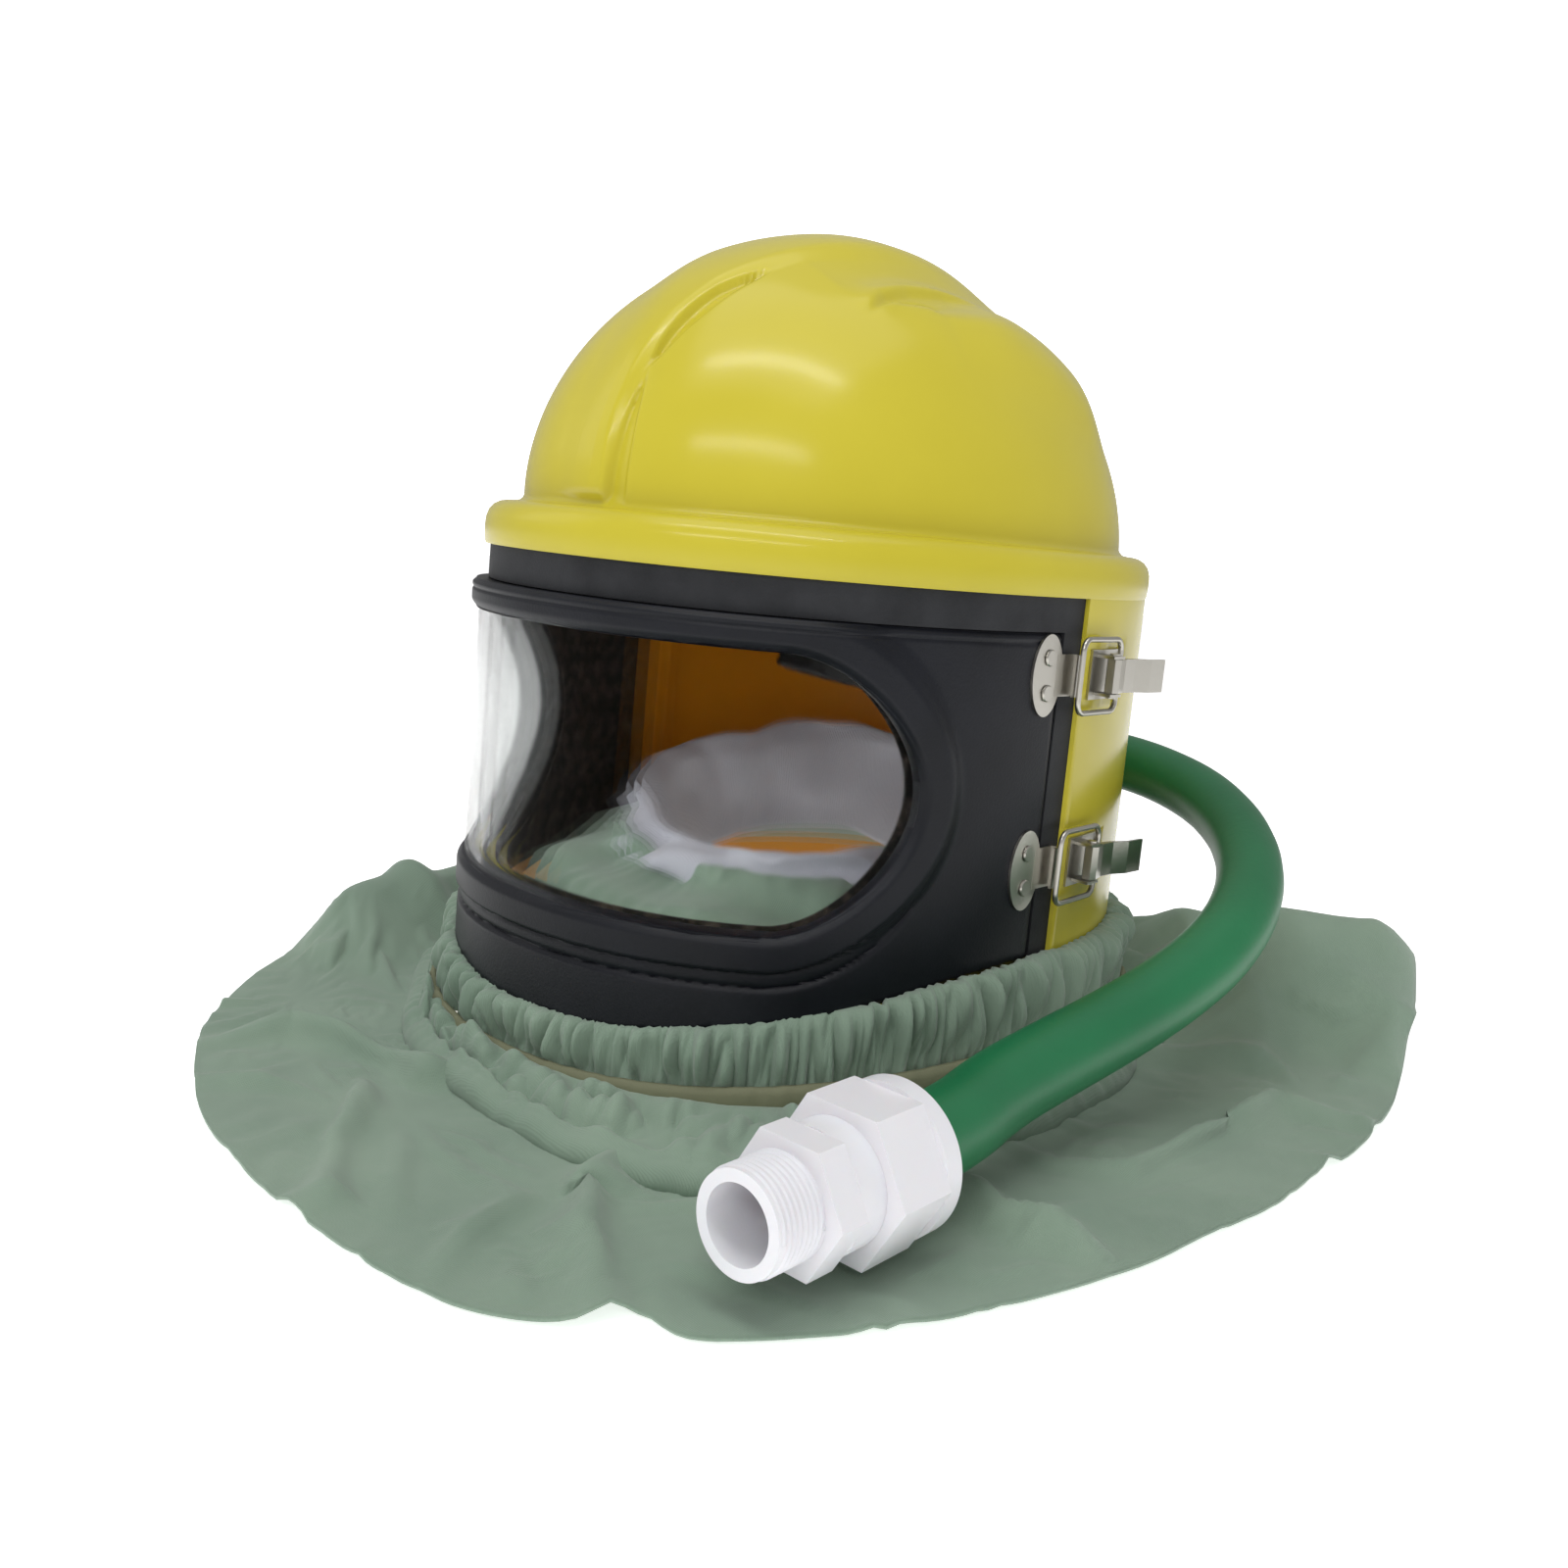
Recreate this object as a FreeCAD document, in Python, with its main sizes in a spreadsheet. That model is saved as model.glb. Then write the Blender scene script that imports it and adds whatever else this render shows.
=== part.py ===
import FreeCAD, Part
import math
import os

import Sketcher

# Air-fed hood helmet: a moulded shell with a hinged wrap-round window frame, two draw
# latches, a head harness, an air inlet with its hose and fitting, and a cloth cape.
# Millimetres, +Z up, the window looks along -Y, and the floor is z = 0.

DIMENSIONS = {
    # plan of the shell: two half superellipses
    "shell_half_width": 130, "shell_front_length": 160, "shell_rear_length": 166,
    "plan_power": 2.2, "wall_thickness": 4, "rim_depth": 8,
    # heights
    "shell_side_bottom": 34, "front_dip": 25, "recess_bottom": 58, "recess_top": 217,
    "rim_chamfer_start": 229, "dome_base": 237, "dome_top": 367,
    "dome_power": 1.9, "dome_inset": 7, "dome_lean": 8,
    # window
    "window_half_width": 126, "window_half_height": 55, "window_centre_height": 133.5,
    "window_end_reach": 32, "lip_width": 9, "lip_proud": 6, "frame_top": 201.5,
    "gasket_web": 2.5, "frame_inner_offset": 2.8, "frame_outer_offset": 6.5,
    "outer_lens_offset": 8, "inner_lens_offset": 3.2, "lens_thickness": 1.5,
    # hinge and latches
    "hinge_axis_reach": 148, "hinge_axis_depth": 12, "hinge_pin_radius": 2,
    "upper_latch_height": 184, "lower_latch_height": 100, "running_clearance": 0.05,
    "lever_axis_reach": 143.5, "lever_axis_back": 29, "lever_pin_radius": 1.5,
    "bail_axis_reach": 141.7, "bail_axis_back": 37, "bail_bar_reach": 143.2,
    "bail_bar_back": 2, "bail_wire_radius": 1.25, "bail_half_height": 16,
    "lever_half_height": 7.5, "sheet_steel": 1.2,
    # harness
    "headband_half_width": 78, "headband_half_length": 96, "headband_height": 24,
    "headband_thickness": 2, "headband_tilt": 14, "headband_level": 200,
    "knob_radius": 17, "knob_length": 12, "knob_grip_radius": 2.5, "knob_grips": 12,
    # air inlet, hose and fitting
    "inlet_height": 122, "inlet_flange_radius": 31, "tube_outer_radius": 16,
    "tube_inner_radius": 12, "elbow_radius": 24, "hose_radius": 15.5,
    "thread_radius": 16.6, "thread_length": 20, "fitting_bore": 12.5, "hex_flats": 41,
    "hex_length": 12, "collar_radius": 21, "collar_length": 12, "nut_flats": 50,
    "nut_length": 32, "inlet_side": 12, "fitting_height": 34.5, "fitting_side": 190.5,
    "fitting_front": 241,
    # cloth
    "cloth_thickness": 4.5, "ruffle_inner_offset": 8.4, "ruffle_outer_offset": 17,
    "ruffle_bottom": 32, "ruffle_top": 58, "tape_outer_offset": 21, "tape_top": 28,
    "tape_bottom": 15, "tape_dip": 10, "cape_neck_height": 20,
}

doc = FreeCAD.newDocument("hood_helmet")
sheet = doc.addObject("Spreadsheet::Sheet", "Sizes")
for row, (alias, value) in enumerate(DIMENSIONS.items(), start=1):
    sheet.set(f"A{row}", alias)
    sheet.set(f"B{row}", str(value))
    sheet.setAlias(f"B{row}", alias)
doc.recompute()

V = FreeCAD.Vector
UP = V(0, 0, 1)
OUTWARD = V(1, 0, 0)
FORWARD = V(0, -1, 0)
BIG = 400
nodes = []


def size(alias):
    return float(sheet.get(alias))


def named(obj, label):
    """Give a finished sub-part its label and put it on the list of pieces to write."""
    obj.Label = label
    nodes.append(obj)
    return obj


def feature(label, shape):
    """A sub-part whose free-form shape no sketch or primitive can give."""
    obj = doc.addObject("Part::Feature", label)
    obj.Shape = shape
    return named(obj, label)


# ---------------------------------------------------------------- plan curves and slabs

HALF_WIDTH = size("shell_half_width")
FRONT = size("shell_front_length")
REAR = size("shell_rear_length")
PLAN_POINTS = 40


def plan_wire(offset, height, scale=1.0, lean=0.0):
    """The shell's plan outline, moved out by offset, at one height; lean moves it forward."""
    points = []
    for i in range(PLAN_POINTS):
        turn = 2 * math.pi * i / PLAN_POINTS
        side, ahead = math.sin(turn), math.cos(turn)
        length = FRONT if ahead >= 0 else REAR
        x = (HALF_WIDTH * scale + offset) * math.copysign(abs(side) ** (2 / size("plan_power")), side)
        y = (length * scale + offset) * math.copysign(abs(ahead) ** (2 / size("plan_power")), ahead)
        points.append(V(x, -y - lean, height))
    curve = Part.BSplineCurve()
    curve.interpolate(points, PeriodicFlag=True)
    return Part.Wire(curve.toShape())


def ellipse_wire(half_width, half_length, height):
    curve = Part.Ellipse(V(0, 0, height), half_length, half_width)
    curve.rotate(FreeCAD.Placement(V(0, 0, 0), FreeCAD.Rotation(UP, 90)))
    return Part.Wire(curve.toShape())


def plan_prism(offset, bottom, top):
    return Part.Face(plan_wire(offset, bottom)).extrude(V(0, 0, top - bottom))


def plan_ring(inner, outer, bottom, top):
    return plan_prism(outer, bottom, top).cut(plan_prism(inner, bottom - 1, top + 1))


def block(x0, x1, y0, y1, z0, z1):
    return Part.makeBox(x1 - x0, y1 - y0, z1 - z0, V(x0, y0, z0))


def rod(x, y, z0, z1, radius):
    return Part.makeCylinder(radius, z1 - z0, V(x, y, z0))


def dip_solid(side_height, dip):
    """Everything below a surface that is level at the sides and dips towards the front."""
    reach = FRONT + 2 * size("rim_depth")
    front_height = side_height - dip * (reach / FRONT) ** 2
    curve = Part.BezierCurve()
    curve.setPoles([V(-BIG, -reach, front_height), V(-BIG, -reach / 2, side_height),
                    V(-BIG, 0, side_height)])
    corners = [V(-BIG, 0, side_height), V(-BIG, BIG, side_height), V(-BIG, BIG, -BIG),
               V(-BIG, -BIG, -BIG), V(-BIG, -BIG, front_height), V(-BIG, -reach, front_height)]
    edges = [curve.toShape()]
    edges += [Part.makeLine(a, b) for a, b in zip(corners, corners[1:])]
    return Part.Face(Part.Wire(edges)).extrude(V(2 * BIG, 0, 0))


def window_prism(grow, front=-BIG, back=0):
    """A stadium with flattened ends, seen from the front, as a prism along Y."""
    half_height = size("window_half_height") + grow
    reach = size("window_end_reach") + grow / 4
    straight = size("window_half_width") - size("window_end_reach")
    centre = size("window_centre_height")
    middle = block(-straight, straight, front, back, centre - half_height, centre + half_height)
    ends = []
    for side in (-1, 1):
        oval = Part.Ellipse(V(0, 0, 0), half_height, reach)
        face = Part.Face(Part.Wire(oval.toShape())).extrude(V(0, 0, back - front))
        face.rotate(V(0, 0, 0), UP, 90)
        face.rotate(V(0, 0, 0), OUTWARD, -90)
        face.translate(V(side * straight, front, centre))
        ends.append(face)
    return middle.fuse(ends)


def dome(offset):
    """The crown above the rim, as a loft of shrinking plans closed by a small flat."""
    base = size("dome_base")
    rise = size("dome_top") - base
    wires = []
    for part in (0, 0.16, 0.32, 0.48, 0.63, 0.76, 0.86, 0.93, 0.975, 0.995):
        scale = (1 - part ** size("dome_power")) ** (1 / size("dome_power"))
        inset = (offset - size("dome_inset")) * scale
        wires.append(plan_wire(inset, base + (rise + offset) * part, scale, size("dome_lean") * part))
    return Part.makeLoft(wires, True, False)


def wall_box(x0, x1, y0, y1, z0, z1, inner, outer):
    """A plate that follows the wall between two offsets, inside a box."""
    return plan_ring(inner, outer, z0, z1).common(block(x0, x1, y0, y1, z0, z1))


# ---------------------------------------------------------------- shell and gasket

RIM = size("rim_depth")
WALL = size("wall_thickness")
DIP = size("front_dip")
RECESS_BACK = 12


def make_shell():
    base = size("dome_base")
    chamfer = size("rim_chamfer_start")
    body = plan_prism(RIM, -20, chamfer)
    inset = size("dome_inset")
    rim = Part.makeLoft([plan_wire(RIM, chamfer), plan_wire(-inset, base)], True, True)
    body = body.fuse([rim, dome(0)])
    hollow = plan_prism(-WALL, -30, chamfer - WALL)
    neck = Part.makeLoft([plan_wire(-WALL, chamfer - WALL), plan_wire(-inset - WALL, base)], True, True)
    hollow = hollow.fuse([neck, dome(-WALL)])
    pocket = plan_prism(RIM - WALL, -30, chamfer - WALL).cut(block(-BIG, BIG, -BIG, 20, -50, BIG))
    recess = plan_ring(0, RIM + 10, -10, size("recess_top"))
    recess = recess.cut(block(-BIG, BIG, RECESS_BACK, BIG, -50, BIG))
    recess = recess.cut(dip_solid(size("recess_bottom"), DIP))
    shell = body.cut(hollow).cut(pocket).cut(recess).cut(window_prism(3))
    shell = shell.cut(dip_solid(size("shell_side_bottom"), DIP))
    return shell


feature("helmet_shell", make_shell())


def below_frame(shape):
    return shape.cut(dip_solid(size("recess_bottom") + 1, DIP))


def make_gasket():
    web = size("gasket_web")
    top = size("recess_top") - 0.3
    strip_outer = size("frame_outer_offset") - 0.5
    frame_top = size("frame_top")
    back = RECESS_BACK - 0.2
    gasket = plan_ring(0.05, web, 10, top).cut(block(-BIG, BIG, back, BIG, 0, BIG))
    gasket = gasket.cut(window_prism(0.5))
    strips = [wall_box(-BIG, BIG, -BIG, back, frame_top + 0.5, top, web, strip_outer),
              wall_box(0, BIG, -3, back, 10, top, web, strip_outer),
              wall_box(-BIG, 0, -size("hinge_axis_depth") - 1.5, back, 10, top, web, strip_outer)]
    return below_frame(gasket.fuse(strips))


feature("window_gasket", make_gasket())

# ---------------------------------------------------------------- hinged window frame

FRAME_IN = size("frame_inner_offset")
FRAME_OUT = size("frame_outer_offset")
LENS = size("lens_thickness")
DOOR_END = -3.5
DOOR_HINGE_END = -size("hinge_axis_depth") - 2.5
LENS_FIT = 0.15
RABBET = 4


def lens_slab(offset, thickness, grow):
    slab = plan_ring(offset, offset + thickness, 40, 240)
    return slab.common(window_prism(grow))


def make_frame():
    top = size("frame_top")
    outer_lens = size("outer_lens_offset")
    inner_lens = size("inner_lens_offset")
    plate = plan_ring(FRAME_IN, FRAME_OUT, 10, top)
    plate = plate.cut(block(0, BIG, DOOR_END, BIG, 0, BIG))
    plate = plate.cut(block(-BIG, 0, DOOR_HINGE_END, BIG, 0, BIG))
    lip = plan_ring(FRAME_OUT - 0.2, FRAME_OUT + size("lip_proud"), 40, 230)
    lip = lip.common(window_prism(size("lip_width")))
    frame = plate.fuse(lip).cut(window_prism(0))
    for offset in (outer_lens, inner_lens):
        groove = lens_slab(offset - LENS_FIT, LENS + 2 * LENS_FIT, RABBET + LENS_FIT)
        frame = frame.cut(groove)
    return frame.cut(dip_solid(size("recess_bottom") + 1, DIP))


feature("window_frame", make_frame())
feature("outer_lens", lens_slab(size("outer_lens_offset"), LENS, RABBET - 0.1))
feature("inner_lens", lens_slab(size("inner_lens_offset"), LENS, RABBET - 0.1))

# ---------------------------------------------------------------- side hinges

HINGE_X = -size("hinge_axis_reach")
HINGE_Y = -size("hinge_axis_depth")
PIN = size("hinge_pin_radius")
SLACK = size("running_clearance")
KNUCKLE = 4.5
LEAF_HALF = 18
KNUCKLE_GAP = 0.4


def hinge_bore(height):
    return rod(HINGE_X, HINGE_Y, height - 30, height + 30, PIN + SLACK)


def make_fixed_leaf(height):
    low, high = height - 7, height + 7
    inner, outer = RIM + 0.1, RIM + 1.3
    plate = wall_box(-BIG, 0, RECESS_BACK + 2, 40, height - LEAF_HALF, height + LEAF_HALF, inner, outer)
    strap = wall_box(-BIG, 0, HINGE_Y, RECESS_BACK + 3, low, high, inner, outer)
    arm = block(HINGE_X, -HALF_WIDTH - RIM - 0.2, HINGE_Y - 1, HINGE_Y + KNUCKLE, low, high)
    barrel = rod(HINGE_X, HINGE_Y, low, high, KNUCKLE)
    return plate.fuse([strap, arm, barrel]).cut(hinge_bore(height))


def make_door_leaf(height):
    bottom, top = height - LEAF_HALF, height + LEAF_HALF
    leaf = wall_box(-BIG, 0, -44, DOOR_HINGE_END - 0.5, bottom, top, FRAME_OUT + 0.05, FRAME_OUT + 1.25)
    for low, high in ((bottom, height - 7 - KNUCKLE_GAP), (height + 7 + KNUCKLE_GAP, top)):
        arm = block(HINGE_X, -HALF_WIDTH - FRAME_OUT - 0.1, HINGE_Y - KNUCKLE - 1.5, HINGE_Y - 1, low, high)
        leaf = leaf.fuse([arm, rod(HINGE_X, HINGE_Y, low, high, KNUCKLE)])
    return leaf.cut(hinge_bore(height))


LATCH_LEVELS = {"upper": size("upper_latch_height"), "lower": size("lower_latch_height")}
hinge_pins = []
for place, level in LATCH_LEVELS.items():
    feature(f"{place}_hinge_fixed_leaf", make_fixed_leaf(level))
    feature(f"{place}_hinge_door_leaf", make_door_leaf(level))
    head = rod(HINGE_X, HINGE_Y, level + LEAF_HALF + 0.2, level + LEAF_HALF + 2, KNUCKLE - 1)
    foot = rod(HINGE_X, HINGE_Y, level - LEAF_HALF - 2, level - LEAF_HALF - 0.2, KNUCKLE - 1)
    shaft = rod(HINGE_X, HINGE_Y, level - LEAF_HALF - 2, level + LEAF_HALF + 2, PIN)
    hinge_pins.append(shaft.fuse([head, foot]))
feature("hinge_pins", Part.makeCompound(hinge_pins))


def side_rivet(side, wall_offset, depth, y, z, head=3.0, shank=1.5):
    """A domed rivet through a plate on the side wall: head outside, shank into the wall."""
    power = size("plan_power")
    length = FRONT if y < 0 else REAR
    reach = (HALF_WIDTH + wall_offset) * (1 - (abs(y) / (length + wall_offset)) ** power) ** (1 / power)
    base = V(side * reach, y, z)
    axis = V(side, 0, 0)
    cap = Part.makeCylinder(head, 1.0, base + axis * 0.05, axis)
    outermost = max((cap.Edges[0], cap.Edges[2]), key=lambda edge: abs(edge.CenterOfMass.x))
    cap = cap.makeChamfer(0.45, [outermost])
    stem = Part.makeCylinder(shank, depth, base + axis * (0.1 - depth), axis)
    return cap.fuse(stem)


def drill(label, rivets):
    """Clear the rivets' stems out of a plate that they pass through."""
    obj = next(node for node in nodes if node.Label == label)
    obj.Shape = obj.Shape.cut(rivets)


door_leaf_rivets = []
fixed_leaf_rivets = []
for place, level in LATCH_LEVELS.items():
    for z in (level - 10, level + 10):
        door_leaf_rivets.append(side_rivet(-1, FRAME_OUT + 1.3, 4.6, -30, z))
        fixed_leaf_rivets.append(side_rivet(-1, RIM + 1.35, 5, 30, z))
feature("door_leaf_rivets", Part.makeCompound(door_leaf_rivets))
feature("fixed_leaf_rivets", Part.makeCompound(fixed_leaf_rivets))
for place in LATCH_LEVELS:
    drill(f"{place}_hinge_door_leaf", door_leaf_rivets)
    drill(f"{place}_hinge_fixed_leaf", fixed_leaf_rivets)
drill("window_frame", door_leaf_rivets)
drill("helmet_shell", fixed_leaf_rivets)

# ---------------------------------------------------------------- draw latches

LEVER_X, LEVER_Y = size("lever_axis_reach"), size("lever_axis_back")
BAIL_X, BAIL_Y = size("bail_axis_reach"), size("bail_axis_back")
BAR_X, BAR_Y = size("bail_bar_reach"), size("bail_bar_back")
WIRE = size("bail_wire_radius")
STEEL = size("sheet_steel")
LEVER_HALF = size("lever_half_height")
STRIKE_Y = -15
BASE_FRONT, BASE_BACK = 18, 52


def plane_of(body, role):
    return next(item for item in body.Origin.OriginFeatures if item.Role == role)


def new_sketch(body, role, name):
    sketch = body.newObject("Sketcher::SketchObject", name)
    sketch.AttachmentSupport = [(plane_of(body, role), "")]
    sketch.MapMode = "FlatFace"
    return sketch


def ring_of_lines(sketch, corners):
    """A closed outline of straight lines through the corners."""
    points = [V(x, y, 0) for x, y in corners]
    for start, end in zip(points, points[1:] + points[:1]):
        sketch.addGeometry(Part.LineSegment(start, end), False)


def bound_circle(sketch, x, y, expression):
    """A circle whose radius is tied to the sheet."""
    index = sketch.addGeometry(Part.Circle(V(x, y, 0), UP, 1.0), False)
    number = sketch.addConstraint(Sketcher.Constraint("Radius", index, 1.0))
    sketch.setExpression(f"Constraints[{number}]", expression)


def pad(body, sketch, name, expression, symmetric=False):
    solid = body.newObject("PartDesign::Pad", name)
    solid.Profile = sketch
    solid.SideType = "Symmetric" if symmetric else "One side"
    solid.setExpression("Length", expression)
    return solid


def make_lever(place, level):
    """The lever: hub on its pin, bail eye behind it, and a thumb tail bent outwards."""
    body = doc.addObject("PartDesign::Body", f"{place}_lever_body")
    sketch = new_sketch(body, "XY_Plane", f"{place}_lever_profile")
    ring_of_lines(sketch, [(LEVER_X - 1.2, LEVER_Y - 3.2), (LEVER_X + 2.2, LEVER_Y - 2.8),
                           (LEVER_X + 3.4, LEVER_Y + 0.5), (BAIL_X + 2.6, BAIL_Y + 1.5),
                           (144.6, 47), (147.6, 56), (148.2, 68), (146.9, 68), (146.2, 56.5),
                           (142.9, 47.6), (BAIL_X - 0.8, BAIL_Y + 2.3),
                           (BAIL_X - 2.1, BAIL_Y - 0.8), (LEVER_X - 3.1, LEVER_Y - 0.4)])
    bound_circle(sketch, LEVER_X, LEVER_Y, "Sizes.lever_pin_radius + Sizes.running_clearance")
    bound_circle(sketch, BAIL_X, BAIL_Y, "Sizes.bail_wire_radius + Sizes.running_clearance")
    pad(body, sketch, f"{place}_lever_pad", "2 * Sizes.lever_half_height", symmetric=True)
    body.Placement = FreeCAD.Placement(V(0, 0, level), FreeCAD.Rotation())
    return named(body, f"{place}_latch_lever")


def make_bail(level):
    """A closed wire loop: eye bar, two legs and the front bar, with round corners."""
    half = size("bail_half_height")
    corner = 5
    run = V(BAR_X - BAIL_X, BAR_Y - BAIL_Y, 0)
    length = run.Length
    ahead = run.normalize()
    origin = V(BAIL_X, BAIL_Y, level)

    def at(along, up):
        return origin + ahead * along + UP * up

    bend = corner * (1 - math.sqrt(0.5))
    edges = []
    corners = [(0, -half, 0, 1), (0, half, 1, 0), (length, half, 0, -1), (length, -half, -1, 0)]
    for (a, b, da, db), (c, d, _, _) in zip(corners, corners[1:] + corners[:1]):
        start, end = at(a + corner * da, b + corner * db), at(c - corner * da, d - corner * db)
        edges.append(Part.makeLine(start, end))
    middles = [((0, half - corner), (bend, half - bend), (corner, half)),
               ((length - corner, half), (length - bend, half - bend), (length, half - corner)),
               ((length, corner - half), (length - bend, bend - half), (length - corner, -half)),
               ((corner, -half), (bend, bend - half), (0, corner - half))]
    path = []
    for line, arc in zip(edges, middles):
        path.append(line)
        path.append(Part.Arc(at(*arc[0]), at(*arc[1]), at(*arc[2])).toShape())
    section = Part.Wire(Part.makeCircle(WIRE, origin, UP))
    return Part.Wire(path).makePipeShell([section], True, False)


def make_base(level):
    """A riveted plate on the skirt with two ears that carry the lever's pin."""
    plate = wall_box(0, BIG, BASE_FRONT, BASE_BACK, level - 11, level + 11, RIM + 0.05, RIM + STEEL)
    ears = []
    for side in (-1, 1):
        low = min(side * (LEVER_HALF + 0.3), side * (LEVER_HALF + 0.3 + STEEL))
        ear = block(130, LEVER_X + 3.2, LEVER_Y - 6, LEVER_Y + 3.5, level + low, level + low + STEEL)
        ears.append(ear.cut(plan_prism(RIM + 0.05, level - 20, level + 20)))
    bore = rod(LEVER_X, LEVER_Y, level - 20, level + 20, size("lever_pin_radius") + SLACK)
    return plate.fuse(ears).cut(bore)


def make_lever_pin(level):
    half = LEVER_HALF + 0.3 + STEEL
    shaft = rod(LEVER_X, LEVER_Y, level - half - 0.9, level + half + 0.9, size("lever_pin_radius"))
    heads = [rod(LEVER_X, LEVER_Y, level + half + 0.05, level + half + 0.9, 2.3),
             rod(LEVER_X, LEVER_Y, level - half - 0.9, level - half - 0.05, 2.3)]
    return shaft.fuse(heads)


def make_strike(level):
    """The oval plate on the frame, with a tab over the gasket that ends in a hook."""
    oval = Part.Ellipse(V(0, 0, 0), 17.5, 10.5)
    prism = Part.Face(Part.Wire(oval.toShape())).extrude(V(0, 0, 40))
    prism.rotate(V(0, 0, 0), V(0, 1, 0), 90)
    prism.translate(V(115, STRIKE_Y, level))
    plate = plan_ring(FRAME_OUT + 0.05, FRAME_OUT + STEEL, level - 20, level + 20).common(prism)
    surface = HALF_WIDTH + FRAME_OUT
    tab = block(surface + 0.05, surface + STEEL, -9, BAR_Y + 3, level - 9, level + 9)
    rise = block(surface + 0.05, BAR_X - WIRE - 0.4, BAR_Y + 1.8, BAR_Y + 3, level - 9, level + 9)
    hook = block(BAR_X - WIRE - 0.4 - STEEL, BAR_X - WIRE - 0.4, BAR_Y - 2, BAR_Y + 3, level - 9, level + 9)
    return plate.fuse([tab, rise, hook])


base_rivets = []
strike_rivets = []
lever_pins = []
for place, level in LATCH_LEVELS.items():
    feature(f"{place}_strike_plate", make_strike(level))
    feature(f"{place}_latch_base", make_base(level))
    make_lever(place, level)
    feature(f"{place}_latch_bail", make_bail(level))
    lever_pins.append(make_lever_pin(level))
    for z in (level - 7.5, level + 7.5):
        strike_rivets.append(side_rivet(1, FRAME_OUT + STEEL, 4.6, STRIKE_Y, z, head=3.6))
        base_rivets.append(side_rivet(1, RIM + STEEL + 0.05, 5, BASE_BACK - 5, z, head=2.6))
feature("lever_pins", Part.makeCompound(lever_pins))
feature("strike_rivets", Part.makeCompound(strike_rivets))
feature("latch_base_rivets", Part.makeCompound(base_rivets))
for place in LATCH_LEVELS:
    drill(f"{place}_strike_plate", strike_rivets)
    drill(f"{place}_latch_base", base_rivets)
drill("window_frame", strike_rivets)
drill("helmet_shell", base_rivets)

# ---------------------------------------------------------------- head harness

BAND_WIDTH = size("headband_half_width")
BAND_LENGTH = size("headband_half_length")
BAND_HALF = size("headband_height") / 2
BAND = size("headband_thickness")
HARNESS = FreeCAD.Placement(V(0, 0, size("headband_level")),
                            FreeCAD.Rotation(OUTWARD, -size("headband_tilt")))


def oval_ring(inner, outer, bottom, top):
    """A band between two ellipses around the head."""
    solids = []
    for offset, extra in ((outer, 0), (inner, 1)):
        wire = ellipse_wire(BAND_WIDTH + offset, BAND_LENGTH + offset, bottom - extra)
        solids.append(Part.Face(wire).extrude(V(0, 0, top - bottom + 2 * extra)))
    return solids[0].cut(solids[1])


def on_head(shape):
    moved = shape.copy()
    moved.Placement = HARNESS.multiply(moved.Placement)
    return moved


def crown_strap(half_reach, rise, across):
    """A webbing arch over the head that stands on the headband."""
    thickness = 1.5
    arcs = []
    for shrink in (0, thickness):
        oval = Part.Ellipse(V(0, 0, 0), rise - shrink, half_reach - shrink)
        face = Part.Face(Part.Wire(oval.toShape()))
        face.rotate(V(0, 0, 0), V(0, 1, 0), -90)
        solid = face.extrude(V(20, 0, 0))
        solid.translate(V(-10, 0, 0))
        arcs.append(solid)
    arch = arcs[0].cut(arcs[1]).common(block(-BIG, BIG, -BIG, BIG, BAND_HALF + 0.1, BIG))
    if across:
        arch.rotate(V(0, 0, 0), UP, 90)
    return arch


ARM_Y = 44
SUSPENSION_REACH = 121
feature("headband", on_head(oval_ring(0, BAND, -BAND_HALF, BAND_HALF)))
brow = oval_ring(-4, -0.1, -BAND_HALF - 3, BAND_HALF + 2).common(block(-60, 60, -BIG, -20, -50, 50))
feature("brow_pad", on_head(brow))
nape = oval_ring(-7, -0.1, -BAND_HALF - 16, BAND_HALF + 4).common(block(-62, 62, 30, BIG, -50, 50))
feature("nape_pad", on_head(nape))
feature("side_crown_strap", on_head(crown_strap(BAND_WIDTH + BAND, 118, True)))
feature("long_crown_strap", on_head(crown_strap(BAND_LENGTH + BAND, 115.2, False)))
housing = block(-34, 34, 88, BAND_LENGTH + 17, -15, 15).cut(oval_ring(-30, BAND + 0.1, -20, 20))
housing = housing.cut(Part.makeCylinder(4.05, 12, V(0, BAND_LENGTH + 7, 0), V(0, 1, 0)))
feature("ratchet_housing", on_head(housing))
arms = []
for side in (-1, 1):
    for y in (-ARM_Y, ARM_Y):
        level = size("headband_level") - y * math.tan(math.radians(size("headband_tilt")))
        near, far = sorted((side * (BAND_WIDTH - 5), side * SUSPENSION_REACH))
        arms.append(block(near, far, y - 7, y + 7, level - 5, level + 5))
band_space = on_head(oval_ring(-20, BAND + 0.1, -40, 40))
feature("suspension_arms", Part.makeCompound([arm.cut(band_space) for arm in arms]))


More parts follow.
